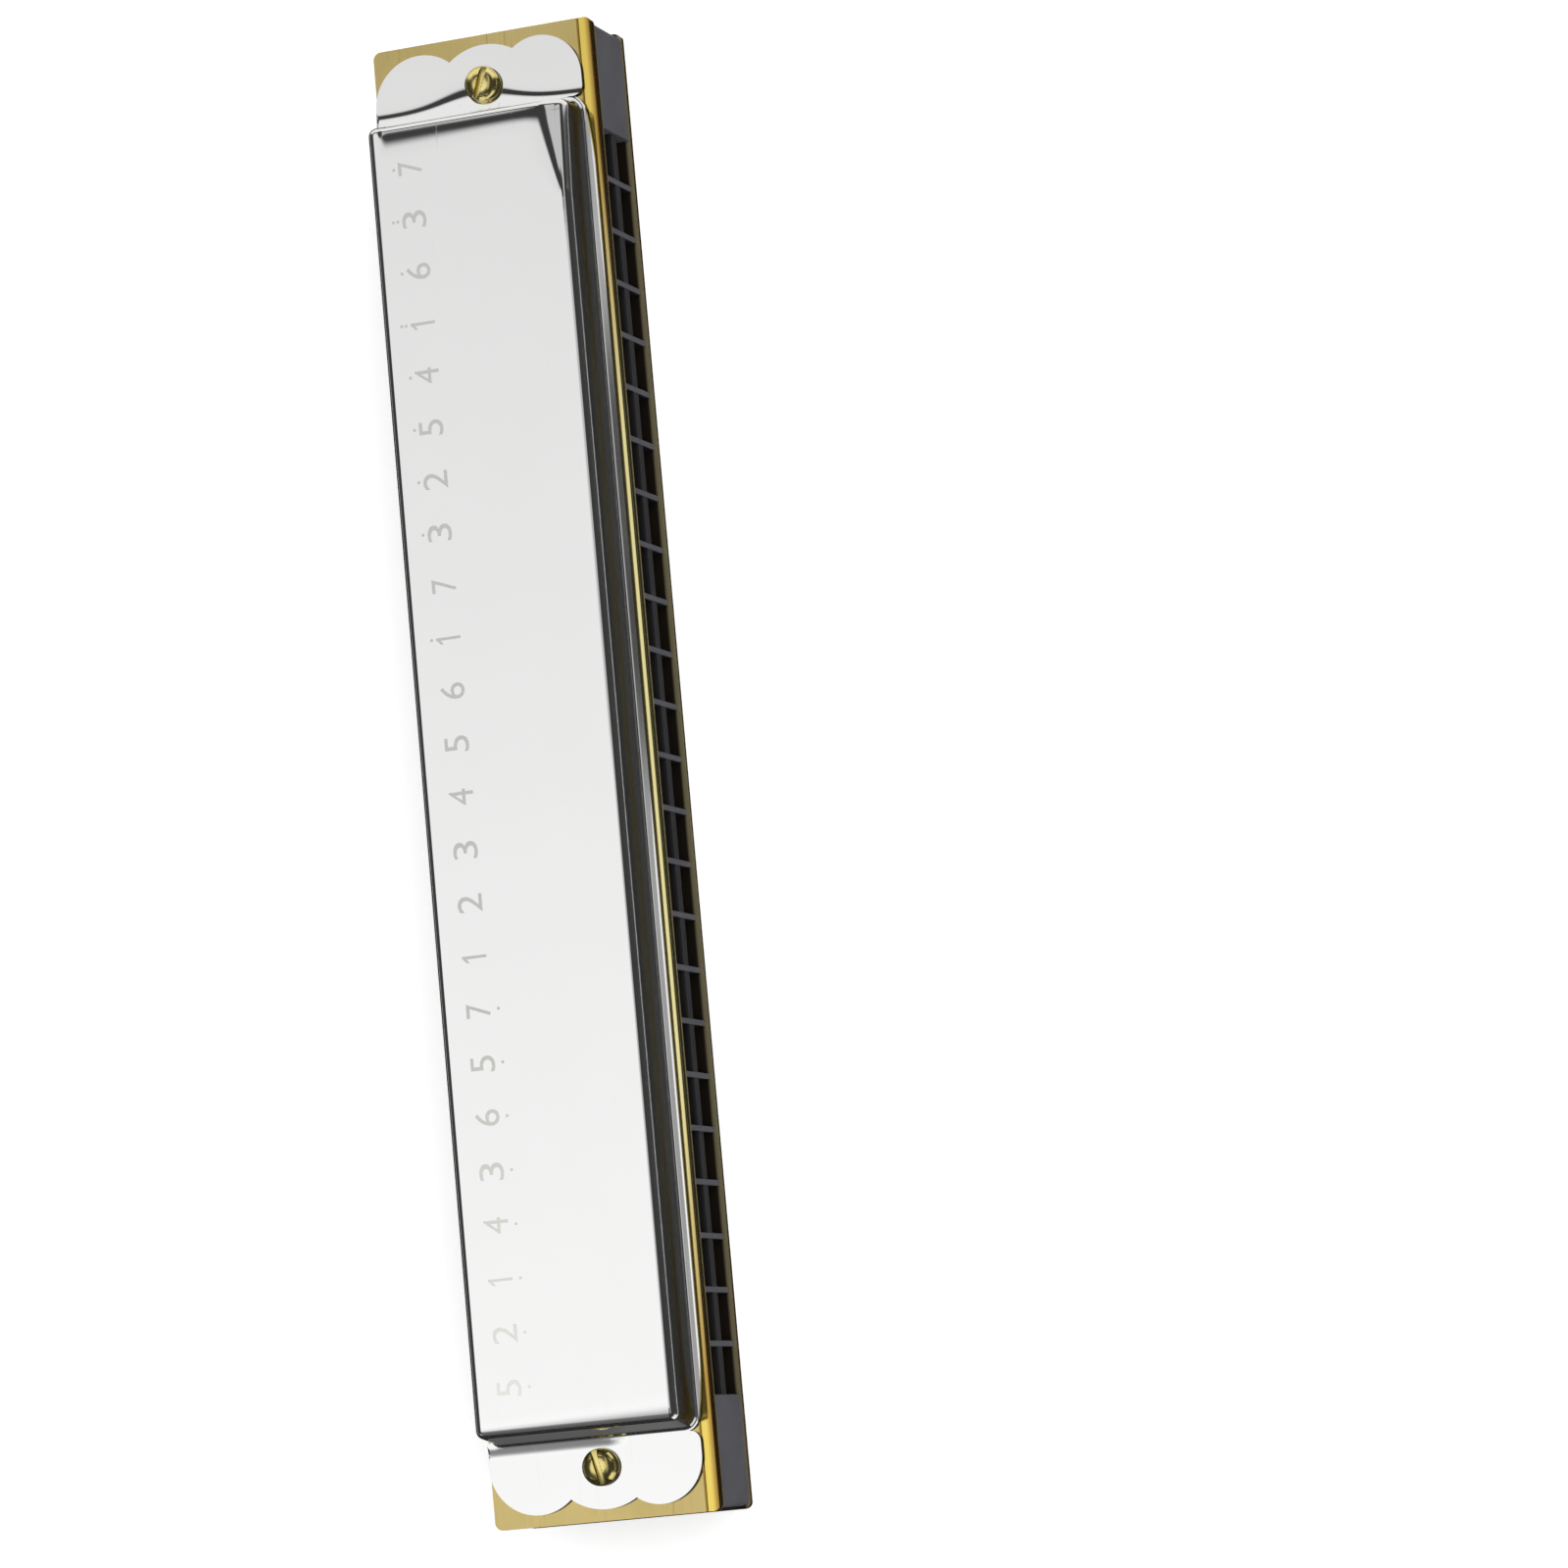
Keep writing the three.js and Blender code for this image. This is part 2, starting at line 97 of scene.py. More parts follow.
def add(tree, kind, inputs=None, **settings):
    """A new node in a tree, with its inputs set to values or fed by other nodes"""
    node = tree.nodes.new(kind)
    for key, value in settings.items():
        setattr(node, key, value)
    for key, value in (inputs or {}).items():
        if isinstance(value, bpy.types.Node):
            value = value.outputs[0]
        if isinstance(value, bpy.types.NodeSocket):
            tree.links.new(value, node.inputs[key])
        else:
            node.inputs[key].default_value = value
    return node


def math(tree, operation, first, second=0.0):
    return add(tree, "ShaderNodeMath", {0: first, 1: second}, operation=operation)


def shaping_tree(name, sizes):
    """A geometry tree that takes a mesh, a material and named sizes, and the nodes at its two ends"""
    tree = bpy.data.node_groups.new(name, "GeometryNodeTree")
    sockets = {"Mesh": "Geometry", "Material": "Material", **sizes}
    for socket, kind in sockets.items():
        tree.interface.new_socket(socket, in_out="INPUT", socket_type="NodeSocket" + kind)
    tree.interface.new_socket("Mesh", in_out="OUTPUT", socket_type="NodeSocketGeometry")
    return tree, tree.nodes.new("NodeGroupInput"), tree.nodes.new("NodeGroupOutput")


def linked(name, mesh):
    """A new object in the scene with the given mesh, curve, light or camera"""
    piece = bpy.data.objects.new(name, mesh)
    bpy.context.scene.collection.objects.link(piece)
    return piece


def piece_from(form, name):
    """A new piece with the form as its mesh"""
    mesh = bpy.data.meshes.new(name)
    form.to_mesh(mesh)
    form.free()
    return linked(name, mesh)


def baked(piece):
    """The piece with what its modifiers make as its own plain mesh"""
    graph = bpy.context.evaluated_depsgraph_get()
    mesh = bpy.data.meshes.new_from_object(piece.evaluated_get(graph))
    piece.modifiers.clear()
    piece.data = mesh
    return piece


def shaped(piece, tree, material, sizes):
    """The piece after a geometry tree has worked on it with the given sizes"""
    modifier = piece.modifiers.new("shaping", "NODES")
    modifier.node_group = tree
    for item in tree.interface.items_tree:
        if item.in_out == "INPUT" and item.name in sizes:
            modifier[item.identifier] = sizes[item.name]
        if item.in_out == "INPUT" and item.name == "Material":
            modifier[item.identifier] = material
    return baked(piece)


def cut(piece, tool, operation="DIFFERENCE"):
    """Cuts the piece with a tool, or keeps what both share, and clears the tool away"""
    modifier = piece.modifiers.new("cut", "BOOLEAN")
    modifier.object = tool
    modifier.operation = operation
    modifier.solver = "EXACT"
    baked(piece)
    bpy.data.objects.remove(tool)
    return piece


def eased(piece, width, steps=2, limit=radians(35)):
    """Rounds the sharp edges a little, as tumbling or a mould does, and shades the faces smoothly"""
    for face in piece.data.polygons:
        face.use_smooth = True
    modifier = piece.modifiers.new("edges", "BEVEL")
    modifier.width = width
    modifier.segments = steps
    modifier.limit_method = "ANGLE"
    modifier.angle_limit = limit
    modifier.harden_normals = True
    return baked(piece)


def arc(x, y, radius, start, end, steps):
    """Points round a centre, from one angle to another"""
    angles = [start + (end - start) * i / steps for i in range(steps + 1)]
    return [(x + radius * cos(a), y + radius * sin(a)) for a in angles]


def rounded_rectangle(low, high, radius, steps=8):
    quarter = pi / 2
    return [
        *arc(high.x - radius, high.y - radius, radius, 0, quarter, steps),
        *arc(low.x + radius, high.y - radius, radius, quarter, 2 * quarter, steps),
        *arc(low.x + radius, low.y + radius, radius, 2 * quarter, 3 * quarter, steps),
        *arc(high.x - radius, low.y + radius, radius, 3 * quarter, 4 * quarter, steps),
    ]


def solid(name, outline, start, end, place):
    """A closed solid from an outline run from start to end; place turns (u, v, w) into a point"""
    form = bmesh.new()
    rings = [[form.verts.new(place(u, v, w)) for u, v in outline] for w in (start, end)]
    form.faces.new(rings[0])
    form.faces.new(rings[1])
    for i in range(len(outline)):
        form.faces.new((rings[0][i - 1], rings[0][i], rings[1][i], rings[1][i - 1]))
    bmesh.ops.recalc_face_normals(form, faces=form.faces)
    return piece_from(form, name)


def upright(u, v, w):
    return (u, v, w)


def along_x(u, v, w):
    return (w, u, v)


def block(name, low, high):
    outline = [(low[0], low[1]), (high[0], low[1]), (high[0], high[1]), (low[0], high[1])]
    return solid(name, outline, low[2], high[2], upright)


def row_of(tree, tool, count, first, step):
    """Copies of a tool in a straight row"""
    line = add(tree, "GeometryNodeMeshLine", {"Count": count, "Start Location": first, "Offset": step})
    return add(tree, "GeometryNodeInstanceOnPoints", {"Points": line, "Instance": tool})


def joined(tree, *parts):
    join = add(tree, "GeometryNodeJoinGeometry")
    for part in parts:
        tree.links.new(part.outputs[0], join.inputs[0])
    return join


def cut_and_finish(tree, start, end, tools):
    """Takes the tools out of the incoming mesh and gives it its material"""
    real = add(tree, "GeometryNodeRealizeInstances", {0: tools})
    inputs = {0: start.outputs["Mesh"], 1: real, "Self Intersection": True}
    trimmed = add(tree, "GeometryNodeMeshBoolean", inputs, operation="DIFFERENCE", solver="EXACT")
    plain = add(tree, "GeometryNodeRealizeInstances", {0: trimmed})
    dressed = add(tree, "GeometryNodeSetMaterial", {0: plain, "Material": start.outputs["Material"]})
    tree.links.new(dressed.outputs[0], end.inputs[0])


def fastener_holes(tree, start):
    """Upright holes for the two bolts and the three pins"""
    holes = []
    for name, count in (("Bolt", 2), ("Pin", 3)):
        radius, first, step = (start.outputs[name + size] for size in (" radius", " first", " step"))
        hole = add(tree, "GeometryNodeMeshCylinder", {
            "Vertices": hole_sides, "Radius": radius, "Depth": start.outputs["Hole depth"]})
        holes.append(row_of(tree, hole, count, first, step))
    return holes


hole_inputs = {"Hole depth": "Float", "Bolt radius": "Float", "Bolt first": "Vector", "Bolt step": "Vector",
               "Pin radius": "Float", "Pin first": "Vector", "Pin step": "Vector"}
hole_sizes = {
    "Hole depth": comb_high.z - comb_low.z + 4 * overrun,
    "Bolt radius": bolt_hole_radius,
    "Bolt first": (-bolt_x, bolt_y, middle_level),
    "Bolt step": (2 * bolt_x, 0, 0),
    "Pin radius": pin_hole_radius,
    "Pin first": (-pin_step, pin_y, middle_level),
    "Pin step": (pin_step, 0, 0),
}

chambers, start, end = shaping_tree("chambers", {
    "Columns": "Int", "First": "Vector", "Step": "Vector", "Chamber": "Vector", "Row rise": "Vector",
    "Throat": "Vector", "Throat place": "Vector", **hole_inputs})
chamber = add(chambers, "GeometryNodeMeshCube", {"Size": start.outputs["Chamber"]})
throat = add(chambers, "GeometryNodeMeshCube", {"Size": start.outputs["Throat"]})
throat = add(chambers, "GeometryNodeTransform", {0: throat, "Translation": start.outputs["Throat place"]})
rise = start.outputs["Row rise"]
fall = add(chambers, "ShaderNodeVectorMath", {0: rise, 1: (-1, -1, -1)}, operation="MULTIPLY")
upper_chamber = add(chambers, "GeometryNodeTransform", {0: chamber, "Translation": rise})
lower_chamber = add(chambers, "GeometryNodeTransform", {0: chamber, "Translation": fall})
rows = [row_of(chambers, tool, start.outputs["Columns"], start.outputs["First"], start.outputs["Step"])
        for tool in (upper_chamber, lower_chamber, throat)]
cut_and_finish(chambers, start, end, joined(chambers, *rows, *fastener_holes(chambers, start)))


def shader_group(name, inputs, outputs):
    """A shader group for an effect that several finishes share, and the nodes at its two ends"""
    tree = bpy.data.node_groups.new(name, "ShaderNodeTree")
    for socket in inputs:
        tree.interface.new_socket(socket, in_out="INPUT", socket_type="NodeSocketFloat")
    for socket in outputs:
        tree.interface.new_socket(socket, in_out="OUTPUT", socket_type="NodeSocketFloat")
    return tree, tree.nodes.new("NodeGroupInput"), tree.nodes.new("NodeGroupOutput")


def object_place(tree):
    """Where a point lies on its piece, along x, y and z"""
    return add(tree, "ShaderNodeSeparateXYZ", {0: add(tree, "ShaderNodeTexCoord").outputs["Object"]})


def mapped(tree, value, from_low, from_high, to_low, to_high, kind="LINEAR"):
    """A value carried from one range to another and held at its ends"""
    return add(tree, "ShaderNodeMapRange", {
        "Value": value, "From Min": from_low, "From Max": from_high, "To Min": to_low, "To Max": to_high},
        interpolation_type=kind)


def drifting(tree, noise, low, high, noise_low=0.3, noise_high=0.7):
    """A value that goes from low to high as a noise rises through its usual range"""
    return mapped(tree, noise, noise_low, noise_high, low, high)


def finish(name, metallic, specular=0.5):
    """A new material, its tree and its Principled shader"""
    material = bpy.data.materials.new(name)
    material.use_nodes = True
    tree = material.node_tree
    shader = tree.nodes["Principled BSDF"]
    shader.inputs["Metallic"].default_value = metallic
    shader.inputs["Specular IOR Level"].default_value = specular
    return material, tree, shader


def blended(tree, mask, first, second):
    """The colour between two others, each a plain tone or what another node puts out"""
    first, second = ((*tone, 1) if isinstance(tone, tuple) else tone for tone in (first, second))
    mix = add(tree, "ShaderNodeMix", {"Factor": mask, "A": first, "B": second}, data_type="RGBA")
    return mix.outputs["Result"]


def tinted(tree, shader, mask, first, second):
    """Lets the surface's colour drift between two others"""
    tree.links.new(blended(tree, mask, first, second), shader.inputs["Base Color"])


def roughened(tree, shader, value):
    tree.links.new(value.outputs[0], shader.inputs["Roughness"])


def ruffled(tree, shader, height, distance, strength):
    """Lets a height field ruffle the surface"""
    bump = add(tree, "ShaderNodeBump", {"Height": height, "Distance": distance, "Strength": strength})
    tree.links.new(bump.outputs[0], shader.inputs["Normal"])


# Grain shared by the instrument's finishes: a fine pebble and a broad cloud
pebble, start, end = shader_group(
    "pebble and cloud", ["Pebbles per metre", "Clouds per metre"], ["Pebble", "Cloud"])
for output, scale, detail in (("Pebble", "Pebbles per metre", 3.0), ("Cloud", "Clouds per metre", 2.0)):
    noise = add(pebble, "ShaderNodeTexNoise", {
        "Vector": add(pebble, "ShaderNodeTexCoord").outputs["Object"],
        "Scale": start.outputs[scale], "Detail": detail})
    pebble.links.new(noise.outputs[0], end.inputs[output])


def grained(tree, pebbles, clouds):
    """The shared grain in a finish, with so many pebbles and clouds to the metre"""
    return add(tree, "ShaderNodeGroup", {
        "Pebbles per metre": pebbles, "Clouds per metre": clouds}, node_tree=pebble)


comb_plastic, tree, shader = finish("comb plastic", metallic=0)
grain = grained(tree, pebbles=4500, clouds=160)
plastic_tone = blended(tree, grain.outputs["Cloud"], (0.084, 0.085, 0.097), (0.112, 0.113, 0.128))
place = object_place(tree)
lips_half = columns_half - partition_wall / 2
mouth_face = comb_low.y + mouth_recess
off_centre = math(tree, "ABSOLUTE", place.outputs["X"])
among_columns = mapped(tree, off_centre, lips_half - lip_fade, lips_half, 1, 0)
# Painted shade: behind the mouth face the plastic darkens to near black inside the chambers, between the end
# blocks and short of the rear wall
first_painted_shade = mapped(
    tree, place.outputs["Y"], mouth_face, mouth_face + chamber_shade_start, 0, first_shade_share)
deep_painted_shade = mapped(
    tree, place.outputs["Y"], mouth_face + chamber_shade_start, mouth_face + chamber_shade_full, 0, deep_shade_share)
off_rear = mapped(tree, place.outputs["Y"], comb_high.y - comb_rear_wall, comb_high.y - unshaded_rear, 1, 0)
chamber_painted_shade = math(tree, "MULTIPLY", math(tree, "ADD", first_painted_shade, deep_painted_shade), among_columns)
tinted(tree, shader, math(tree, "MULTIPLY", chamber_painted_shade, off_rear), plastic_tone, (0.008, 0.007, 0.006))
roughened(tree, shader, drifting(tree, grain.outputs["Cloud"], low=0.36, high=0.5))
ruffled(tree, shader, grain.outputs["Pebble"], distance=0.008 * mm, strength=0.6)

comb_moulding = solid("comb_moulding", rounded_rectangle(comb_low, comb_high, comb_corner),
                      comb_low.z, comb_high.z, upright)
cut(comb_moulding, block("mouth recess", (-lips_half, comb_low.y - overrun, comb_low.z - overrun),
                         (lips_half, mouth_face, comb_high.z + overrun)))
chamber_front = comb_low.y - overrun
chamber_rear = comb_high.y - comb_rear_wall
throat_depth = overrun + mouth_recess + middle_wall_setback
shaped(comb_moulding, chambers, comb_plastic, {
    "Columns": column_count,
    "First": (column_x(0), (chamber_front + chamber_rear) / 2, middle_level),
    "Step": (column_pitch, 0, 0),
    "Chamber": (column_pitch - partition_wall, chamber_rear - chamber_front, chamber_height + overrun),
    "Row rise": (0, 0, (middle_wall + chamber_height + overrun) / 2),
    "Throat": (column_pitch - partition_wall, throat_depth, middle_wall + overrun),
    "Throat place": (0, (throat_depth - chamber_rear + chamber_front) / 2, 0),
    **hole_sizes,
})
eased(comb_moulding, comb_edge)
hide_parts("comb")
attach(comb_moulding, "root")


# Reed plates: two flat sheets of rolled brass, one above and one below the comb.
# Each has a bead and a fine groove along the mouth edge and a slot for each of its 24 reeds.
# The slots are punched, and three pins hold each plate to the comb's rear wall.
plate_low, plate_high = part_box("upper_reed_plate")
mouth_margin = 5.4 * mm
bead_radius = 0.3 * mm
bead_crown_start = 0.78 * mm
bead_crown_radius = 4 * mm
bead_width = 1.8 * mm
groove_width = 0.3 * mm
groove_depth = 0.2 * mm
plate_corner = 1 * mm
plate_edge = 0.07 * mm
bead_crown_steps = 8
bead_steps = 12
# Painted shade on the bead's front half: where it is darkest and where it has faded out
bead_shade_start = 0.3 * mm
bead_shade_end = 1.1 * mm
pale_bead_end = 40 * mm
gold_bead_start = 76 * mm
# Inner faces: dull tarnished brass at the mouth edge, fading deeper in to near-black painted shade inside the
# chambers
tarnish_and_shade_depth = 0.5 * mm
tarnish_and_shade_metallic = 0.3
bead_rough_share = 0.55
shade_start_behind_edge = 0.35 * mm
shade_full_behind_edge = 0.7 * mm
longest_reed = 17 * mm
shortest_reed = 9 * mm
widest_reed = 2.5 * mm
narrowest_reed = 2 * mm
pad_length = 3 * mm
slot_side_gap = 0.15 * mm
slot_tip_gap = 0.25 * mm
rivet_hole_radius = 0.6 * mm
rivet_hole_sides = 16
reed_middle = plate_low.y + mouth_margin + (pad_length + longest_reed) / 2

slots, start, end = shaping_tree("reed slots", {
    "Columns": "Int", "First": "Vector", "Step": "Vector", "Longest": "Float", "Shortest": "Float",
    "Widest": "Float", "Narrowest": "Float", "Side gap": "Float", "Tip gap": "Float", "Pad": "Float",
    "Rivet radius": "Float", **hole_inputs})
column = add(slots, "GeometryNodeInputIndex")
last = math(slots, "SUBTRACT", start.outputs["Columns"], 1)
along = math(slots, "DIVIDE", column, last)
last_share = math(slots, "DIVIDE", start.outputs["Shortest"], start.outputs["Longest"])
length = math(slots, "MULTIPLY", start.outputs["Longest"], math(slots, "POWER", last_share, along))
width = mapped(slots, along, 0, 1, start.outputs["Widest"], start.outputs["Narrowest"])
side = math(slots, "MULTIPLY", start.outputs["Side gap"], 2)
way = math(slots, "SUBTRACT", 1, math(slots, "MULTIPLY", math(slots, "MODULO", column, 2), 2))
half_way = math(slots, "MULTIPLY", way, 0.5)
pad_and_gap = math(slots, "ADD", start.outputs["Pad"], start.outputs["Tip gap"])
slot_shift = math(slots, "MULTIPLY", half_way, pad_and_gap)
rivet_shift = math(slots, "MULTIPLY", math(slots, "MULTIPLY", half_way, length), -1)
punch = add(slots, "GeometryNodeMeshCube")
punch_size = add(slots, "ShaderNodeCombineXYZ", {
    0: math(slots, "ADD", width, side), 1: math(slots, "ADD", length, start.outputs["Tip gap"]),
    2: start.outputs["Hole depth"]})
drill = add(slots, "GeometryNodeMeshCylinder", {
    "Vertices": rivet_hole_sides, "Radius": start.outputs["Rivet radius"],
    "Depth": start.outputs["Hole depth"]})
tools = []
for tool, shift, size in ((punch, slot_shift, punch_size), (drill, rivet_shift, None)):
    row = row_of(slots, tool, start.outputs["Columns"], start.outputs["First"], start.outputs["Step"])
    line = row.inputs["Points"].links[0].from_node
    offset = add(slots, "ShaderNodeCombineXYZ", {1: shift})
    moved = add(slots, "GeometryNodeSetPosition", {0: line, "Offset": offset})
    slots.links.new(moved.outputs[0], row.inputs["Points"])
    if size:
        slots.links.new(size.outputs[0], row.inputs["Scale"])
    tools.append(row)
cut_and_finish(slots, start, end, joined(slots, *tools, *fastener_holes(slots, start)))

# Lines that rolling, filing or wiping leaves: fine streaks along one axis and rare deeper scratches
streak_squeeze = 0.03
scratch_scale_share = 0.31
scratch_start = 0.66
scratch_full = 0.72
streaks, start, end = shader_group("streaks", ["Streaks per metre", "Along X"], ["Streak", "Scratch"])
place = object_place(streaks)
swing = math(streaks, "MULTIPLY", start.outputs["Along X"], 1 - streak_squeeze)
lined = add(streaks, "ShaderNodeCombineXYZ", {
    0: math(streaks, "MULTIPLY", place.outputs["X"], math(streaks, "SUBTRACT", 1, swing)),
    1: math(streaks, "MULTIPLY", place.outputs["Y"], math(streaks, "ADD", streak_squeeze, swing)),
    2: place.outputs["Z"]})
streak = add(streaks, "ShaderNodeTexNoise", {
    "Vector": lined, "Scale": start.outputs["Streaks per metre"], "Detail": 5.0})
coarse_scale = math(streaks, "MULTIPLY", start.outputs["Streaks per metre"], scratch_scale_share)
coarse = add(streaks, "ShaderNodeTexNoise", {"Vector": lined, "Scale": coarse_scale, "Detail": 2.0})
scratch = mapped(streaks, coarse, scratch_start, scratch_full, 0, 1, "SMOOTHSTEP")
streaks.links.new(streak.outputs[0], end.inputs["Streak"])
streaks.links.new(scratch.outputs[0], end.inputs["Scratch"])


def streaked(tree, per_metre, along_x):
    """The shared streaks in a finish, along x for 1 and along y for 0"""
    return add(tree, "ShaderNodeGroup", {
        "Streaks per metre": per_metre, "Along X": along_x}, node_tree=streaks)


def scratched(tree, even, lines, depth):
    """An even roughness with the streaks' scratches on it"""
    return math(tree, "ADD", even, math(tree, "MULTIPLY", lines.outputs["Scratch"], depth))


plate_brass, tree, shader = finish("plate brass", metallic=1)
lines = streaked(tree, per_metre=9000, along_x=1)
grain = grained(tree, pebbles=3000, clouds=90)
place = object_place(tree)
face_tone = blended(tree, grain.outputs["Cloud"], (0.54, 0.42, 0.16), (0.68, 0.54, 0.23))
behind_edge = math(tree, "SUBTRACT", place.outputs["Y"], plate_low.y)
on_bead = mapped(tree, behind_edge, bead_width - groove_width, bead_width, 1, 0, "SMOOTHSTEP")
# Painted shade: toward the plate's ends the front half of the bead is a darker orange brown, fading to plain
# gold further back
past_bead_shade = mapped(tree, behind_edge, bead_shade_start, bead_shade_end, 0, 1, "SMOOTHSTEP")
gold_with_painted_shade = blended(tree, past_bead_shade, (0.42, 0.25, 0.06), (0.84, 0.64, 0.14))
off_centre = math(tree, "ABSOLUTE", place.outputs["X"])
toward_ends = mapped(tree, off_centre, pale_bead_end, gold_bead_start, 0, 1)
bead_tone = blended(tree, toward_ends, (0.86, 0.76, 0.36), gold_with_painted_shade)
brass_tone = blended(tree, on_bead, face_tone, bead_tone)
off_middle = math(tree, "ABSOLUTE", math(tree, "SUBTRACT", place.outputs["Z"], middle_level))
inner_face = (comb_high.z - comb_low.z) / 2
# Partly tarnish and partly painted shade: the inner faces go from dull brass at the mouth edge to near black
# inside the chambers
tarnish_and_shade_mask = mapped(tree, off_middle, inner_face, inner_face + tarnish_and_shade_depth, 1, 0, "SMOOTHSTEP")
tarnish_and_shade_tone = blended(tree, mapped(tree, behind_edge, shade_start_behind_edge, shade_full_behind_edge, 0, 1),
                       (0.20, 0.17, 0.10), (0.014, 0.011, 0.008))
tinted(tree, shader, tarnish_and_shade_mask, brass_tone, tarnish_and_shade_tone)
tree.links.new(mapped(tree, tarnish_and_shade_mask, 0, 1, 1, tarnish_and_shade_metallic).outputs[0], shader.inputs["Metallic"])
rough = scratched(tree, drifting(tree, lines.outputs["Streak"], low=0.14, high=0.21), lines, depth=0.1)
smooth_bead = mapped(tree, on_bead, 0, 1, 1, bead_rough_share)
roughened(tree, shader, math(tree, "MULTIPLY", smooth_bead, rough))
ruffled(tree, shader, lines.outputs["Streak"], distance=0.0005 * mm, strength=0.8)


def plate_section():
    """Outline across the plate, in y and z: the flat sheet, the groove and the rounded bead"""
    groove = plate_low.y + bead_width
    crown_turn = asin((bead_crown_start - bead_radius) / (bead_crown_radius - bead_radius))
    crown_level = plate_high.z - bead_crown_radius
    nose_level = crown_level + (bead_crown_radius - bead_radius) * cos(crown_turn)
    crown_y = plate_low.y + bead_crown_start
    meeting = pi / 2 + crown_turn
    return [
        (plate_high.y, plate_low.z),
        (plate_high.y, plate_high.z),
        (groove + groove_width / 2, plate_high.z),
        (groove, plate_high.z - groove_depth),
        (groove - groove_width / 2, plate_high.z),
        *arc(crown_y, crown_level, bead_crown_radius, pi / 2, meeting, bead_crown_steps),
        *arc(plate_low.y + bead_radius, nose_level, bead_radius, meeting, pi, bead_steps),
        (plate_low.y, plate_low.z),
    ]


def mirrored_copy(piece, name):
    """The same piece turned over to the other side of the instrument"""
    form = bmesh.new()
    form.from_mesh(piece.data)
    for vert in form.verts:
        vert.co.z = 2 * middle_level - vert.co.z
    bmesh.ops.reverse_faces(form, faces=form.faces)
    copy = piece_from(form, name)
    for material in piece.data.materials:
        copy.data.materials.append(material)
    return copy


def upper_plate():
    """The plate as it leaves the press, with its corners cropped and its slots and holes punched"""
    plate = solid("upper_plate", plate_section(), plate_low.x - overrun, plate_high.x + overrun, along_x)
    outline = rounded_rectangle(plate_low, plate_high, plate_corner)
    crop = solid("plate outline", outline, plate_low.z - overrun, plate_high.z + overrun, upright)
    cut(plate, crop, "INTERSECT")
    return shaped(plate, slots, plate_brass, {
        "Columns": column_count,
        "First": (column_x(0), reed_middle, plate_low.z),
        "Step": (column_pitch, 0, 0),
        "Longest": longest_reed,
        "Shortest": shortest_reed,
        "Widest": widest_reed,
        "Narrowest": narrowest_reed,
        "Side gap": slot_side_gap,
        "Tip gap": slot_tip_gap,
        "Pad": pad_length,
        "Rivet radius": rivet_hole_radius,
        **hole_sizes,
    })


upper_plate_sheet = upper_plate()
lower_plate_sheet = mirrored_copy(upper_plate_sheet, "lower_plate")
for plate, node in ((upper_plate_sheet, "upper_reed_plate"), (lower_plate_sheet, "lower_reed_plate")):
    eased(plate, plate_edge)
    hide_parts(node)
    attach(plate, "root")


# Reeds: 48 springy tongues of rolled brass, longest at the low end, each with a thicker pad.
# A rivet through the pad clamps each one to its plate, and the tongue swings through its slot.
# Odd columns are blown and lie inside the chambers, even ones are drawn and lie outside.
reed_thickness = 0.25 * mm
tip_thickness = 0.17 * mm
pad_thickness = 0.5 * mm
pad_side_lap = 0.3 * mm
pad_lift = 0.2 * mm
pad_edge = 0.06 * mm
rivet_head_radius = 0.75 * mm
rivet_head_height = 0.35 * mm
rivet_head_lift = 0.15 * mm
rivet_head_rim = 0.08 * mm
rivet_radius = 0.45 * mm
rivet_sides = 12
bending_share = 0.5
tongue_steps = 10

reed_brass, tree, shader = finish("reed brass", metallic=1)
lines = streaked(tree, per_metre=12000, along_x=1)
grain = grained(tree, pebbles=5000, clouds=220)
tinted(tree, shader, grain.outputs["Cloud"], (0.66, 0.50, 0.22), (0.80, 0.65, 0.34))
rough = scratched(tree, drifting(tree, lines.outputs["Streak"], low=0.22, high=0.36), lines, depth=0.15)
roughened(tree, shader, rough)
ruffled(tree, shader, lines.outputs["Streak"], distance=0.0015 * mm, strength=0.8)


def lathed(form, x, y, profile, sides=20):
    """Adds a round solid to the form: profile points are (radius, height) from one axis end to the other"""
    rings = []
    for radius, height in profile:
        turns = range(sides) if radius > 0 else range(1)
        rings.append([form.verts.new((x + radius * cos(2 * pi * i / sides),
                                      y + radius * sin(2 * pi * i / sides), height)) for i in turns])
    faces = []
    for first, second in zip(rings, rings[1:]):
        for i in range(sides):
            # A ring on the axis is one point, so a corner there is named once
            corners = {first[i % len(first)]: 0, first[(i + 1) % len(first)]: 0,
                       second[(i + 1) % len(second)]: 0, second[i % len(second)]: 0}
            if len(corners) > 2:
                faces.append(form.faces.new(list(corners)))
    bmesh.ops.recalc_face_normals(form, faces=faces)


def dome(radius, rim, height, base, way, steps=5):
    """Profile of a domed head from its rim to its crown, above or below the base"""
    points = [(radius, base)]
    for i in range(steps + 1):
        turn = pi / 2 * i / steps
        points.append((max(radius * cos(turn), 0) if i < steps else 0,
                       base + way * (rim + (height - rim) * sin(turn))))
    return points


def polished(piece, material, sharp_angle):
    """Shades the piece smoothly between its sharp edges and gives it its material"""
    piece.data.shade_smooth()
    piece.data.set_sharp_from_angle(angle=sharp_angle)
    piece.data.materials.append(material)


def reed_length(k):
    return longest_reed * (shortest_reed / longest_reed) ** (k / (column_count - 1))


def reed_width(k):
    return widest_reed + (narrowest_reed - widest_reed) * k / (column_count - 1)


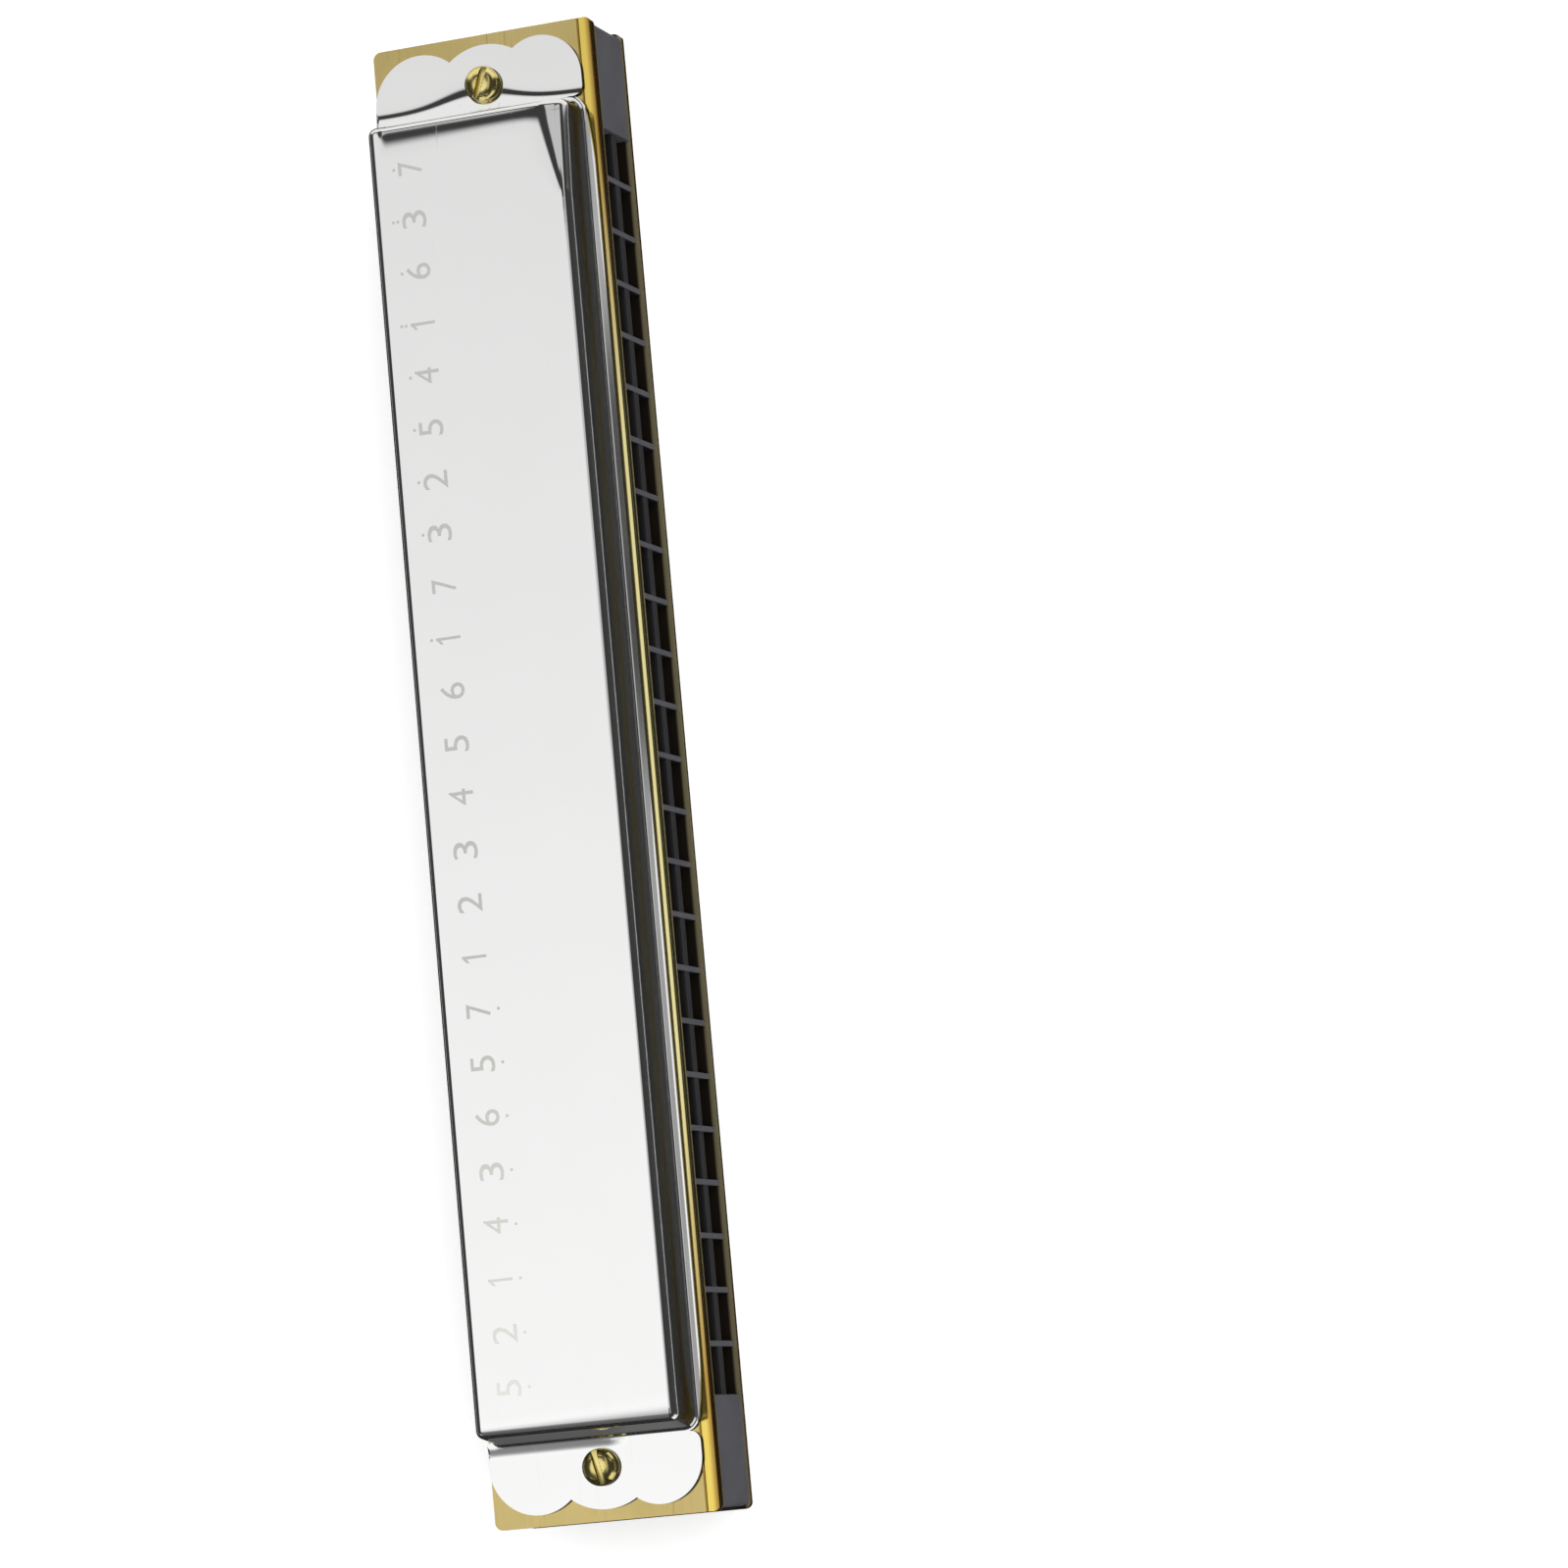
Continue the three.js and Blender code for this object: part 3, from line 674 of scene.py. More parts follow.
def reed(name, k, plate_middle, face_way):
    """One reed on the upper or lower side of its plate, with its rivet"""
    middle_x = column_x(k)
    tongue_way = 1 if k % 2 == 0 else -1
    length = reed_length(k)
    root = reed_middle - tongue_way * (length - pad_length) / 2
    rivet_y = root - tongue_way * pad_length / 2
    face = (plate_high.z - plate_low.z) / 2
    foot = face + pad_lift
    half_width = reed_width(k) / 2
    stations = [(-pad_length, half_width + pad_side_lap, pad_thickness),
                (0, half_width + pad_side_lap, pad_thickness)]
    for i in range(tongue_steps + 1):
        share = i / tongue_steps
        thick = reed_thickness + (tip_thickness - reed_thickness) * share
        stations.append((length * share, half_width, thick))
    form = bmesh.new()
    rings = []
    for along_reed, half, thick in stations:
        y = root + tongue_way * along_reed
        corners = [(-half, foot), (half, foot), (half, foot + thick), (-half, foot + thick)]
        rings.append([form.verts.new((middle_x + x, y, plate_middle + face_way * z)) for x, z in corners])
    faces = [form.faces.new(rings[0]), form.faces.new(rings[-1])]
    for first, second in zip(rings, rings[1:]):
        for i in range(4):
            faces.append(form.faces.new((first[i - 1], first[i], second[i], second[i - 1])))
    bmesh.ops.recalc_face_normals(form, faces=faces)
    piece = eased(piece_from(form, name), pad_edge)
    form = bmesh.new()
    form.from_mesh(piece.data)
    near = plate_middle + face_way * (foot + pad_thickness)
    far = plate_middle - face_way * (face + rivet_head_lift)
    for base, way in ((near, face_way), (far, -face_way)):
        head = dome(rivet_head_radius, rivet_head_rim, rivet_head_height, base, way)
        lathed(form, middle_x, rivet_y, [(0, base), *head])
    shank = [(0, near), (rivet_radius, near), (rivet_radius, far), (0, far)]
    lathed(form, middle_x, rivet_y, shank, rivet_sides)
    form.to_mesh(piece.data)
    form.free()
    polished(piece, reed_brass, sharp_angle=radians(40))
    bend_start = (middle_x, root, plate_middle)
    bend_end = (middle_x, root + tongue_way * length * bending_share, plate_middle)
    return piece, bend_start, bend_end


plate_centre = (plate_low.z + plate_high.z) / 2
for row, level in (("upper", plate_centre), ("lower", 2 * middle_level - plate_centre)):
    outside = 1 if row == "upper" else -1
    for k in range(column_count):
        node = f"reed_{row}_{k + 1:02d}"
        face_way = -outside if k % 2 == 0 else outside
        piece, bend_start, bend_end = reed(f"brass_{node}", k, level, face_way)
        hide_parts(node)
        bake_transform(piece)


# Pins: three brass pins with flat domed heads that clamp the two plates to the comb's rear wall.
# They are turned from wire and peened over at both faces.
pin_radius = 0.6 * mm
pin_head_radius = 1 * mm
pin_head_rim = 0.12 * mm
pin_head_height = pin_high.z - plate_high.z
pin_sides = 24


def turned_piece(name, x, y, profile, sides):
    """A new round piece from the points of its profile"""
    form = bmesh.new()
    lathed(form, x, y, profile, sides)
    return piece_from(form, name)


upper_head = pin_high.z - pin_head_height
lower_head = pin_low.z + pin_head_height
pin_profile = [
    *reversed(dome(pin_head_radius, pin_head_rim, pin_head_height, lower_head, -1)),
    (pin_radius, lower_head),
    (pin_radius, upper_head),
    *dome(pin_head_radius, pin_head_rim, pin_head_height, upper_head, 1),
]
for number in (1, 2, 3):
    node = f"plate_pin_{number}"
    low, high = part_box(node)
    pin = turned_piece(f"brass_{node}", (low.x + high.x) / 2, pin_y, pin_profile, pin_sides)
    polished(pin, reed_brass, sharp_angle=radians(50))
    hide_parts(node)
    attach(pin, "root")


# Covers: the upper and the lower one are pressed from one sheet of steel each, then chromed.
# Each has a raised box with a lip turned down along its open rear, a narrow flange along the mouth
# and a scalloped tab at each end, where the bolt pulls the sheet down onto the plate.
cover_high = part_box("upper_cover")[1]
sheet = 0.46 * mm
tab_rise = 0.5 * mm
tab_top = plate_high.z + tab_rise
crown_front_radius = 1.3 * mm
crown_end_radius = 0.8 * mm
crown_rear_radius = 1 * mm
plan_corner = 0.2 * mm
foot_fillet = 0.3 * mm
foot_support = 0.12 * mm
front_tilt = radians(88)
end_tilt = radians(80.8)
lip_share = 0.03
wall_shares = [lip_share, 0.25, 0.5, 0.75]
cover_end = 81 * mm
crown_front_setback = 3.4 * mm
crown_rear_setback = 0.8 * mm
flange_setback = 0.9 * mm
flange_width = 0.76 * mm
flange_end = 82.1 * mm
tab_setback = 1.7 * mm
crown_end = cover_end - crown_end_radius - plan_corner
crown_front = plate_low.y + crown_front_setback + plan_corner
crown_rear = plate_high.y - crown_rear_setback - crown_rear_radius - plan_corner
flange_front = plate_low.y + flange_setback
tab_end = cover_high.x
tab_front = plate_low.y + tab_setback
tab_rear = plate_high.y
lobe_centre_shares = [0.2, 0.46, 0.775]
lobe_radius_shares = [0.2, 0.273, 0.225]
bolt_hole = 1.7 * mm
corner_steps = 6
rounding_steps = 10
fillet_steps = 6
plan_steps = 6
tab_corner = 1.3 * mm
tab_corner_steps = 8
lobe_steps = 28
flange_taper = 7.5 * mm
taper_steps = 12
corner_start = radians(-15)
corner_margin = 0.05 * mm
cut_edge = 0.04 * mm
fine_grid = 0.24 * mm
coarse_grid = 0.7 * mm
grid_clear_share = 0.5
hole_clear_share = 0.99
join_limit = 1e-6
weld_distance = 0.002 * mm


def sheet_profile(nx, ny):
    """Offsets outward and drops of the wall that faces (nx, ny), from the crown's edge to the flange"""
    end_part = nx * nx
    side_part = ny * ny
    side_radius = crown_front_radius if ny < 0 else crown_rear_radius
    radius = end_part * crown_end_radius + side_part * side_radius
    tilt = end_part * end_tilt + side_part * front_tilt
    height = cover_high.z - tab_top
    drop = height - (radius + foot_fillet) * (1 - cos(tilt))
    wall_start = radius * sin(tilt)
    foot = wall_start + drop / tan(tilt) + foot_fillet * sin(tilt)
    rows = [(-plan_corner, 0.0), (0.0, 0.0)]
    for i in range(1, rounding_steps + 1):
        turn = tilt * i / rounding_steps
        rows.append((radius * sin(turn), radius * (1 - cos(turn))))
    for share in wall_shares:
        rows.append((wall_start + share * drop / tan(tilt), radius * (1 - cos(tilt)) + share * drop))
    for i in range(fillet_steps + 1):
        turn = tilt * (1 - i / fillet_steps)
        rows.append((foot - foot_fillet * sin(turn), height - foot_fillet * (1 - cos(turn))))
    rows.append((foot + foot_support, height))
    return [(plan_corner + out, down) for out, down in rows]


lip_row = 2 + rounding_steps
spacing_along = {"step": 2 * mm, "fine_step": 0.4 * mm, "fine_zone": 12 * mm}
spacing_across = {"step": 1.2 * mm, "fine_step": 0.25 * mm, "fine_zone": 3.6 * mm}
least_step_share = 0.4


def spaced(low, high, step, fine_step, fine_zone):
    """Places from low to high, closer together near both ends"""
    places = []
    value = low
    while value < high - least_step_share * fine_step:
        places.append(value)
        near = min(value - low, high - value)
        value += fine_step if near < fine_zone or high - value - step < fine_zone else step
    return [*places, high]


crown_xs = spaced(-crown_end, crown_end, **spacing_along)
crown_ys = spaced(crown_front, crown_rear, **spacing_across)


def wall_stations():
    """Places round the crown's edge with the way the wall faces there, and how many have a full wall"""
    corners = [(-crown_end, crown_rear, pi / 2), (-crown_end, crown_front, pi),
               (crown_end, crown_front, 3 * pi / 2), (crown_end, crown_rear, 0)]
    turns = [[(x, y, cos(a + pi / 2 * i / corner_steps), sin(a + pi / 2 * i / corner_steps))
              for i in range(corner_steps + 1)] for x, y, a in corners]
    half = corner_steps // 2
    low_end = [(-crown_end, y, -1, 0) for y in reversed(crown_ys[1:-1])]
    front = [(x, crown_front, 0, -1) for x in crown_xs[1:-1]]
    high_end = [(crown_end, y, 1, 0) for y in crown_ys[1:-1]]
    rear = [(x, crown_rear, 0, 1) for x in reversed(crown_xs[1:-1])]
    full = [*turns[0][half:], *low_end, *turns[1], *front, *turns[2], *high_end, *turns[3][:half + 1]]
    lip = [*turns[3][half + 1:], *rear, *turns[0][:half]]
    return full + lip, len(full)


def lobe_edge():
    """The scalloped edge of the high-end tab, from its front side to its rear side"""
    width = tab_rear - tab_front
    lobes = [(tab_end - radius * width, tab_front + centre * width, radius * width)
             for centre, radius in zip(lobe_centre_shares, lobe_radius_shares)]
    meetings = []
    for (x0, y0, r0), (x1, y1, r1) in zip(lobes, lobes[1:]):
        apart = hypot(x1 - x0, y1 - y0)
        along = (r0 * r0 - r1 * r1 + apart * apart) / (2 * apart)
        turn = atan2(y1 - y0, x1 - x0)
        meetings.append((turn - acos(along / r0), turn - pi + acos((apart - along) / r1) + 2 * pi))
    starts = [-pi / 2, meetings[0][1] - 2 * pi, meetings[1][1] - 2 * pi]
    ends = [meetings[0][0], meetings[1][0], pi / 2]
    points = []
    for (x, y, radius), first, last_turn in zip(lobes, starts, ends):
        points += arc(x, y, radius, first, last_turn, lobe_steps)
    return points


def mouth_corner():
    """The sheet's outline from the high-end tab's front edge, round the foot of the walls, to the flange"""
    reach = sheet_profile(1, 0)[-1][0] + corner_margin
    inner_x = crown_end + reach * cos(corner_start)
    points = arc(inner_x + tab_corner, tab_front + tab_corner, tab_corner, 3 * pi / 2, pi, tab_corner_steps)
    for i in range(plan_steps + 1):
        angle = corner_start + (-pi / 2 - corner_start) * i / plan_steps
        nx, ny = cos(angle), sin(angle)
        reach = sheet_profile(nx, ny)[-1][0] + corner_margin
        points.append((crown_end + reach * nx, crown_front + reach * ny))
    tip_x, tip_y = points[-1]
    for i in range(1, taper_steps + 1):
        share = i / taper_steps
        points.append((tip_x - flange_taper * share, tip_y - (tip_y - flange_front) * sin(pi / 2 * share)))
    return points


def inside(x, y, loop):
    """True where a point lies inside a closed loop"""
    found = False
    for (x0, y0), (x1, y1) in zip(loop, loop[1:] + loop[:1]):
        if (y0 > y) != (y1 > y) and x < x0 + (y - y0) * (x1 - x0) / (y1 - y0):
            found = not found
    return found


def soft_step(low, high, value):
    """Nought below low and one above high, with a smooth rise between"""
    share = min(max((value - low) / (high - low), 0), 1)
    return share * share * (3 - 2 * share)


def softened(distance, softness):
    """The distance past a bend, with the bend itself rounded off"""
    return max(distance, 0) + softness * log1p(exp(-abs(distance) / softness))


# Unevenness from pressing and bolting: the crown's ends roll over, its front edge has a facet near the
# high end, the flange lies at a slant, and the high-end tab is bent where its bolt pulls it down.
roll_slope = 0.125
high_roll_rear = 4 * mm
high_roll_front = 2.6 * mm
low_roll_rear = 1.4 * mm
low_roll_front = 3 * mm
roll_rear_margin = 1.2 * mm
facet_slope = tan(radians(19))
facet_width = 2.07 * mm
facet_length = 11 * mm
facet_least = 0.03 * mm
facet_bend_share = 0.5
facet_overhang = 0.3 * mm
low_roll_overhang = 0.4 * mm
flange_slope = tan(radians(4))
flat_flange_start = 0 * mm
flat_flange_end = 52 * mm
flat_flange_fade = 16 * mm
bend_slope = tan(radians(11.5))
bend_softness = 0.17 * mm
bolt_bend_softness = 0.2 * mm
bolt_bend_place = 2.5 * mm
bolt_bend_width = 5 * mm
bend_gap = 1.8 * mm
bend_bow = 1.8 * mm
bend_bow_place = 1 * mm
bend_bow_width = 6 * mm
bend_drift = 0.03
washer_radius = 1.6 * mm
washer_fade = 0.6 * mm
low_lift_slope = tan(radians(6.5))
low_lift_width = 1 * mm
low_lift_front = -4 * mm
low_lift_fade = 3 * mm
low_lift_softness = 0.1 * mm
end_fade = 2 * mm
crown_reach_share = 0.4
foot_reach_share = 0.6


def crown_sink(x, y):
    """How far the crown's sheet lies below its top, from the rolled ends and the facet"""
    rear_share = min(max((y - crown_front) / (crown_rear - crown_front), 0), 1)
    roll_front, roll_rear = (high_roll_front, high_roll_rear) if x > 0 else (low_roll_front, low_roll_rear)
    roll = roll_front + (roll_rear - roll_front) * rear_share
    end_gap = max(crown_end + (0 if x > 0 else low_roll_overhang) - abs(x), 0)
    rolled = roll_slope * roll / 3 * max(1 - end_gap / roll, 0) ** 3
    if x > 0:
        rolled *= 1 - soft_step(crown_rear - roll_rear_margin, crown_rear, y)
    front_gap = max(y - crown_front + facet_overhang, 0)
    width = max(facet_width * (1 - (crown_end - x) / facet_length), facet_least)
    bend = facet_bend_share * (facet_width * width) ** 0.5
    facet = facet_slope * softened(width - front_gap, bend) if x > 0 else 0
    return rolled + facet


def foot_lift(x, y):
    """How far the sheet stands off the plate at the foot of the walls"""
    past_foot = min(max(y - flange_front, 0), flange_width)
    flat_share = soft_step(flat_flange_start - flat_flange_fade, flat_flange_start + flat_flange_fade, x)
    flat_share *= 1 - soft_step(flat_flange_end - flat_flange_fade, flat_flange_end + flat_flange_fade, x)
    end_share = 1 - soft_step(cover_end - end_fade, cover_end, abs(x))
    flange_lift = flange_slope * past_foot * (1 - flat_share) * end_share
    bend = cover_end + bend_gap + bend_bow * exp(-((y - bend_bow_place) / bend_bow_width) ** 2)
    bend += bend_drift * (y - tab_front)
    softness = bend_softness + bolt_bend_softness * exp(-((y - bolt_bend_place) / bolt_bend_width) ** 2)
    tab_lift = bend_slope * softened(bend - max(x, flange_end), softness)
    tab_lift *= soft_step(cover_end - end_fade, cover_end, x)
    off_washer = soft_step(washer_radius, washer_radius + washer_fade, hypot(x - bolt_x, y - bolt_y))
    low_lift = low_lift_slope * softened(low_lift_width - max(-x - flange_end, 0), low_lift_softness)
    low_lift *= soft_step(low_lift_front, low_lift_front + low_lift_fade, y)
    return flange_lift + tab_lift * off_washer + (low_lift if x < 0 else 0)


def pressed_height(x, y, drop):
    """How far pressing and bolting lift or sink the sheet, over its plan and its height"""
    height = cover_high.z - tab_top
    on_crown = 1 - soft_step(0, crown_reach_share * height, drop)
    on_foot = soft_step(foot_reach_share * height, height, drop)
    return foot_lift(x, y) * on_foot - crown_sink(x, y) * on_crown


def sheet_point(form, x, y, drop):
    """A point of the outer skin, so far below the crown's top before the sheet is pressed uneven"""
    return form.verts.new((x, y, cover_high.z - drop + pressed_height(x, y, drop)))


def add_box(form):
    """Adds the crown and its walls, and returns the foot of the walls, from the low end's rear round"""
    stations, full_count = wall_stations()
    grid = [[sheet_point(form, x, y, 0.0) for y in crown_ys] for x in crown_xs]
    for i in range(len(crown_xs) - 1):
        for j in range(len(crown_ys) - 1):
            form.faces.new((grid[i][j], grid[i + 1][j], grid[i + 1][j + 1], grid[i][j + 1]))
    walls = [[sheet_point(form, x + nx * out, y + ny * out, down) for out, down in sheet_profile(nx, ny)]
             for x, y, nx, ny in stations]
    for i in range(len(stations)):
        first, second = walls[i], walls[(i + 1) % len(walls)]
        last_row = len(first) - 1 if i < full_count - 1 else lip_row
        for j in range(last_row):
            form.faces.new((first[j], first[j + 1], second[j + 1], second[j]))
    foot = [(wall[-1].co.x, wall[-1].co.y) for wall in walls[:full_count]]
    for wall in walls[full_count:]:
        for vert in wall[lip_row + 1:]:
            form.verts.remove(vert)
    return foot


def flat_outline(foot):
    """The edge of the tabs and the flange: round the foot of the walls, then round the outside"""
    lobes = lobe_edge()
    corner = mouth_corner()
    return [
        *foot,
        (foot[-1][0], tab_rear),
        *reversed(lobes),
        *corner,
        *[(x, flange_front) for x in reversed(crown_xs) if abs(x) < corner[-1][0] - coarse_grid],
        *[(-x, y) for x, y in reversed(corner)],
        *[(-x, y) for x, y in lobes],
        (foot[0][0], tab_rear),
    ]


def tab_points(loop, border):
    """Points spread over both tabs, closer together between the crown and the bolt"""
    points = []
    for side in (-1, 1):
        for low, high, grid_step in ((crown_end, bolt_x, fine_grid), (bolt_x, tab_end, coarse_grid)):
            for i in range(int((high - low) / grid_step) + 1):
                for j in range(int((tab_rear - tab_front) / grid_step) + 1):
                    x = side * (low + (i + j % 2 / 2) * grid_step)
                    y = tab_front + j * grid_step
                    clear = min(hypot(x - px, y - py) for px, py in border)
                    off_bolt = hypot(abs(x) - bolt_x, y - bolt_y) > bolt_hole
                    if clear > grid_clear_share * grid_step and off_bolt and inside(x, y, loop):
                        points.append((x, y))
    return points


def add_flat_part(form, loop):
    """Adds the tabs and the flange as triangles between the outline and the two bolt holes"""
    last_turn = 2 * pi * (hole_sides - 1) / hole_sides
    holes = [arc(side * bolt_x, bolt_y, bolt_hole, 0, last_turn, hole_sides - 1) for side in (-1, 1)]
    border = [*loop, *holes[0], *holes[1]]
    edges = [(i, (i + 1) % len(loop)) for i in range(len(loop))]
    for base in (len(loop), len(loop) + hole_sides):
        edges += [(base + i, base + (i + 1) % hole_sides) for i in range(hole_sides)]
    places = [Vector((x / mm, y / mm)) for x, y in border + tab_points(loop, border)]
    made = delaunay_2d_cdt(places, edges, [], 1, join_limit)
    flat = [sheet_point(form, place.x * mm, place.y * mm, cover_high.z - tab_top) for place in made[0]]
    for corners in made[2]:
        x = sum(made[0][i].x for i in corners) / 3 * mm
        y = sum(made[0][i].y for i in corners) / 3 * mm
        if inside(x, y, loop) and hypot(abs(x) - bolt_x, y - bolt_y) > bolt_hole * hole_clear_share:
            face = form.faces.new([flat[i] for i in corners])
            face.normal_update()
            if face.normal.z < 0:
                face.normal_flip()


def cover_sheet(name):
    """The upper cover's outer skin as one continuous sheet"""
    form = bmesh.new()
    add_flat_part(form, flat_outline(add_box(form)))
    bmesh.ops.remove_doubles(form, verts=form.verts, dist=weld_distance)
    loose = [vert for vert in form.verts if not vert.link_faces]
    bmesh.ops.delete(form, geom=loose, context="VERTS")
    piece = piece_from(form, name)
    piece.data.shade_smooth()
    return piece


def thickened(piece):
    """Gives the sheet its thickness and eases its cut edges"""
    thicken = piece.modifiers.new("thickness", "SOLIDIFY")
    thicken.thickness = sheet
    thicken.offset = -1
    thicken.use_even_offset = True
    baked(piece)
    return eased(piece, cut_edge, limit=radians(50))


dull_wall_start = 0.8 * mm
dull_wall_full = 1 * mm
dull_wall_low = 0.4 * mm
dull_wall_high = 1 * mm
dull_wall_rough = 0.13

chrome, tree, shader = finish("chrome", metallic=1)
wiping = streaked(tree, per_metre=6000, along_x=1)
grain = grained(tree, pebbles=700, clouds=60)
tinted(tree, shader, grain.outputs["Cloud"], (0.87, 0.87, 0.865), (0.905, 0.905, 0.90))
place = object_place(tree)
off_middle = math(tree, "ABSOLUTE", math(tree, "SUBTRACT", place.outputs["Z"], middle_level))
above_tab = math(tree, "SUBTRACT", off_middle, tab_top - middle_level)
in_front = mapped(tree, place.outputs["Y"], crown_front - dull_wall_full, crown_front - dull_wall_start, 1, 0)
on_front_wall = math(tree, "MULTIPLY", in_front, mapped(tree, above_tab, dull_wall_low, dull_wall_high, 0, 1))
rough = scratched(tree, drifting(tree, grain.outputs["Cloud"], low=0.03, high=0.075, noise_low=0.35),
                  wiping, depth=0.07)
roughened(tree, shader, math(tree, "ADD", rough, math(tree, "MULTIPLY", on_front_wall, dull_wall_rough)))
ruffled(tree, shader, grain.outputs["Pebble"], distance=0.003 * mm, strength=0.3)

upper_sheet = cover_sheet("upper_cover_sheet")
lower_sheet = mirrored_copy(upper_sheet, "lower_cover_sheet")
for piece, node in ((upper_sheet, "upper_cover"), (lower_sheet, "lower_cover")):
    thickened(piece)
    piece.data.materials.append(chrome)
    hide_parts(node)
    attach(piece, "root")


# Note numbers: one digit over each column of the upper cover, with dots for the octave.
# Dots below mean low notes and dots above high ones. They are etched, so they lie dull in the chrome.
note_digits = "521436571234561732541637"
octave_dots = [-1] * 8 + [0] * 6 + [1, 0, 1, 1, 1, 1, 2, 1, 2, 1]
digit_height = 3.2 * mm
digit_widths = {"2": 2.25 * mm, "3": 2.15 * mm, "4": 2 * mm, "5": 2 * mm, "6": 2 * mm, "7": 1.75 * mm}
digit_middle_low = 8.75 * mm
digit_middle_high = 8.35 * mm
dot_radius = 0.2 * mm
dot_gap_below = 1 * mm
dot_gap_above = 0.6 * mm
dot_step = 0.6 * mm
etch_lift = 0.004 * mm
etch_depth = 0.003 * mm
stroke_width = 0.36 * mm
flag_reach = 0.5 * mm
flag_drop = 0.62 * mm
head_share = 0.4
flag_tip_share = 0.9
flag_root_share = 0.1
dot_sides = 16
palest_digit_end = -80 * mm
dull_digit_start = -30 * mm

etched_grey, tree, shader = finish("etched chrome", metallic=0)
grain = grained(tree, pebbles=9000, clouds=500)
dull_tone = blended(tree, grain.outputs["Pebble"], (0.46, 0.455, 0.435), (0.58, 0.575, 0.55))
# The digits grow paler toward the low end
pale_digit_tone = blended(tree, grain.outputs["Pebble"], (0.76, 0.76, 0.71), (0.86, 0.86, 0.81))
toward_pale_digits = mapped(tree, object_place(tree).outputs["X"], palest_digit_end, dull_digit_start, 1, 0)
tinted(tree, shader, toward_pale_digits, dull_tone, pale_digit_tone)
roughened(tree, shader, drifting(tree, grain.outputs["Cloud"], low=0.5, high=0.75))
ruffled(tree, shader, grain.outputs["Pebble"], distance=0.01 * mm, strength=0.5)


def digit_mesh(digit):
    """The digit as a thin mesh with its middle at the origin"""
    if digit == "1":
        top = digit_height / 2
        right = stroke_width / 2
        tip = -right - flag_reach
        flag_top = top - flag_drop
        outline = [(-right, -top), (right, -top), (right, top), (-right * head_share, top), (tip, flag_top),
                   (tip, flag_top - stroke_width * flag_tip_share),
                   (-right, flag_top + stroke_width * flag_root_share)]
        bar = solid("digit", outline, -etch_depth / 2, etch_depth / 2, upright)
        baked_mesh = bar.data
        bpy.data.objects.remove(bar)
        return baked_mesh
    letter = bpy.data.curves.new("digit", "FONT")
    letter.body = digit
    letter.size = 1
    letter.resolution_u = 6
    letter.extrude = 0.5
    holder = linked("digit", letter)
    baked_mesh = bpy.data.meshes.new_from_object(
        holder.evaluated_get(bpy.context.evaluated_depsgraph_get()))
    bpy.data.objects.remove(holder)
    xs = [vert.co.x for vert in baked_mesh.vertices]
    ys = [vert.co.y for vert in baked_mesh.vertices]
    across = digit_widths[digit] / (max(xs) - min(xs))
    scale = Matrix.Diagonal((across, digit_height / (max(ys) - min(ys)), etch_depth, 1))
    centring = Matrix.Translation((-(max(xs) + min(xs)) / 2, -(max(ys) + min(ys)) / 2, 0))
    baked_mesh.transform(scale @ centring)
    return baked_mesh


form = bmesh.new()
etch_level = cover_high.z + etch_lift
etch_low = etch_level - etch_depth / 2
etch_high = etch_level + etch_depth / 2
dot_profile = [(0, etch_low), (dot_radius, etch_low), (dot_radius, etch_high), (0, etch_high)]
for k, (digit, dots) in enumerate(zip(note_digits, octave_dots)):
    middle_y = digit_middle_low + (digit_middle_high - digit_middle_low) * k / (column_count - 1)
    mesh = digit_mesh(digit)
    mesh.transform(Matrix.Translation((column_x(k), middle_y, etch_level)))
    form.from_mesh(mesh)
    for i in range(abs(dots)):
        reach = digit_height / 2 + (dot_gap_above if dots > 0 else dot_gap_below) + i * dot_step
        lathed(form, column_x(k), middle_y + (reach if dots > 0 else -reach), dot_profile, dot_sides)
note_numbers = piece_from(form, "note_numbers")
note_numbers.data.materials.append(etched_grey)
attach(note_numbers, "root")


# Bolts and nuts: a slotted bolt with a domed head at each end clamps covers, plates and comb.
# They are turned from brass bar, the heads polished, and a six-sided nut holds each one below.
bolt_radius = 1.45 * mm
head_rim = 0.5 * mm
head_fullness = 3.3
head_height = 1.7 * mm
slot_width = 0.8 * mm
slot_depth = 0.6 * mm
thread_pitch = 0.6 * mm
thread_depth = 0.2 * mm
head_edge = 0.06 * mm
nut_flat_radius = 2.5 * mm
nut_chamfer = 0.35 * mm
chamfer_drop_share = 0.6
blank_share = 1.01
thread_lap = 0.2 * mm
turned_sides = 48
bore_sides = 32
bolt_turns = {"low_end": radians(13), "high_end": radians(-20)}

bolt_brass, tree, shader = finish("bolt brass", metallic=1)
lines = streaked(tree, per_metre=9000, along_x=0)
grain = grained(tree, pebbles=4000, clouds=400)
tinted(tree, shader, grain.outputs["Cloud"], (0.88, 0.72, 0.24), (0.95, 0.82, 0.36))
rough = scratched(tree, drifting(tree, grain.outputs["Cloud"], low=0.15, high=0.21), lines, depth=0.1)
roughened(tree, shader, rough)
ruffled(tree, shader, lines.outputs["Streak"], distance=0.001 * mm, strength=0.6)


def flat_dome(radius, rim, height, base, steps=14):
    """Profile of a head with a steep side and a broad, nearly flat crown"""
    points = [(radius, base), (radius, base + rim)]
    for i in range(1, steps + 1):
        reach = radius * cos(pi / 2 * i / steps)
        rise = (1 - (reach / radius) ** head_fullness) ** (1 / 2)
        points.append((reach, base + rim + (height - rim) * rise))
    points[-1] = (0, base + height)
    return points


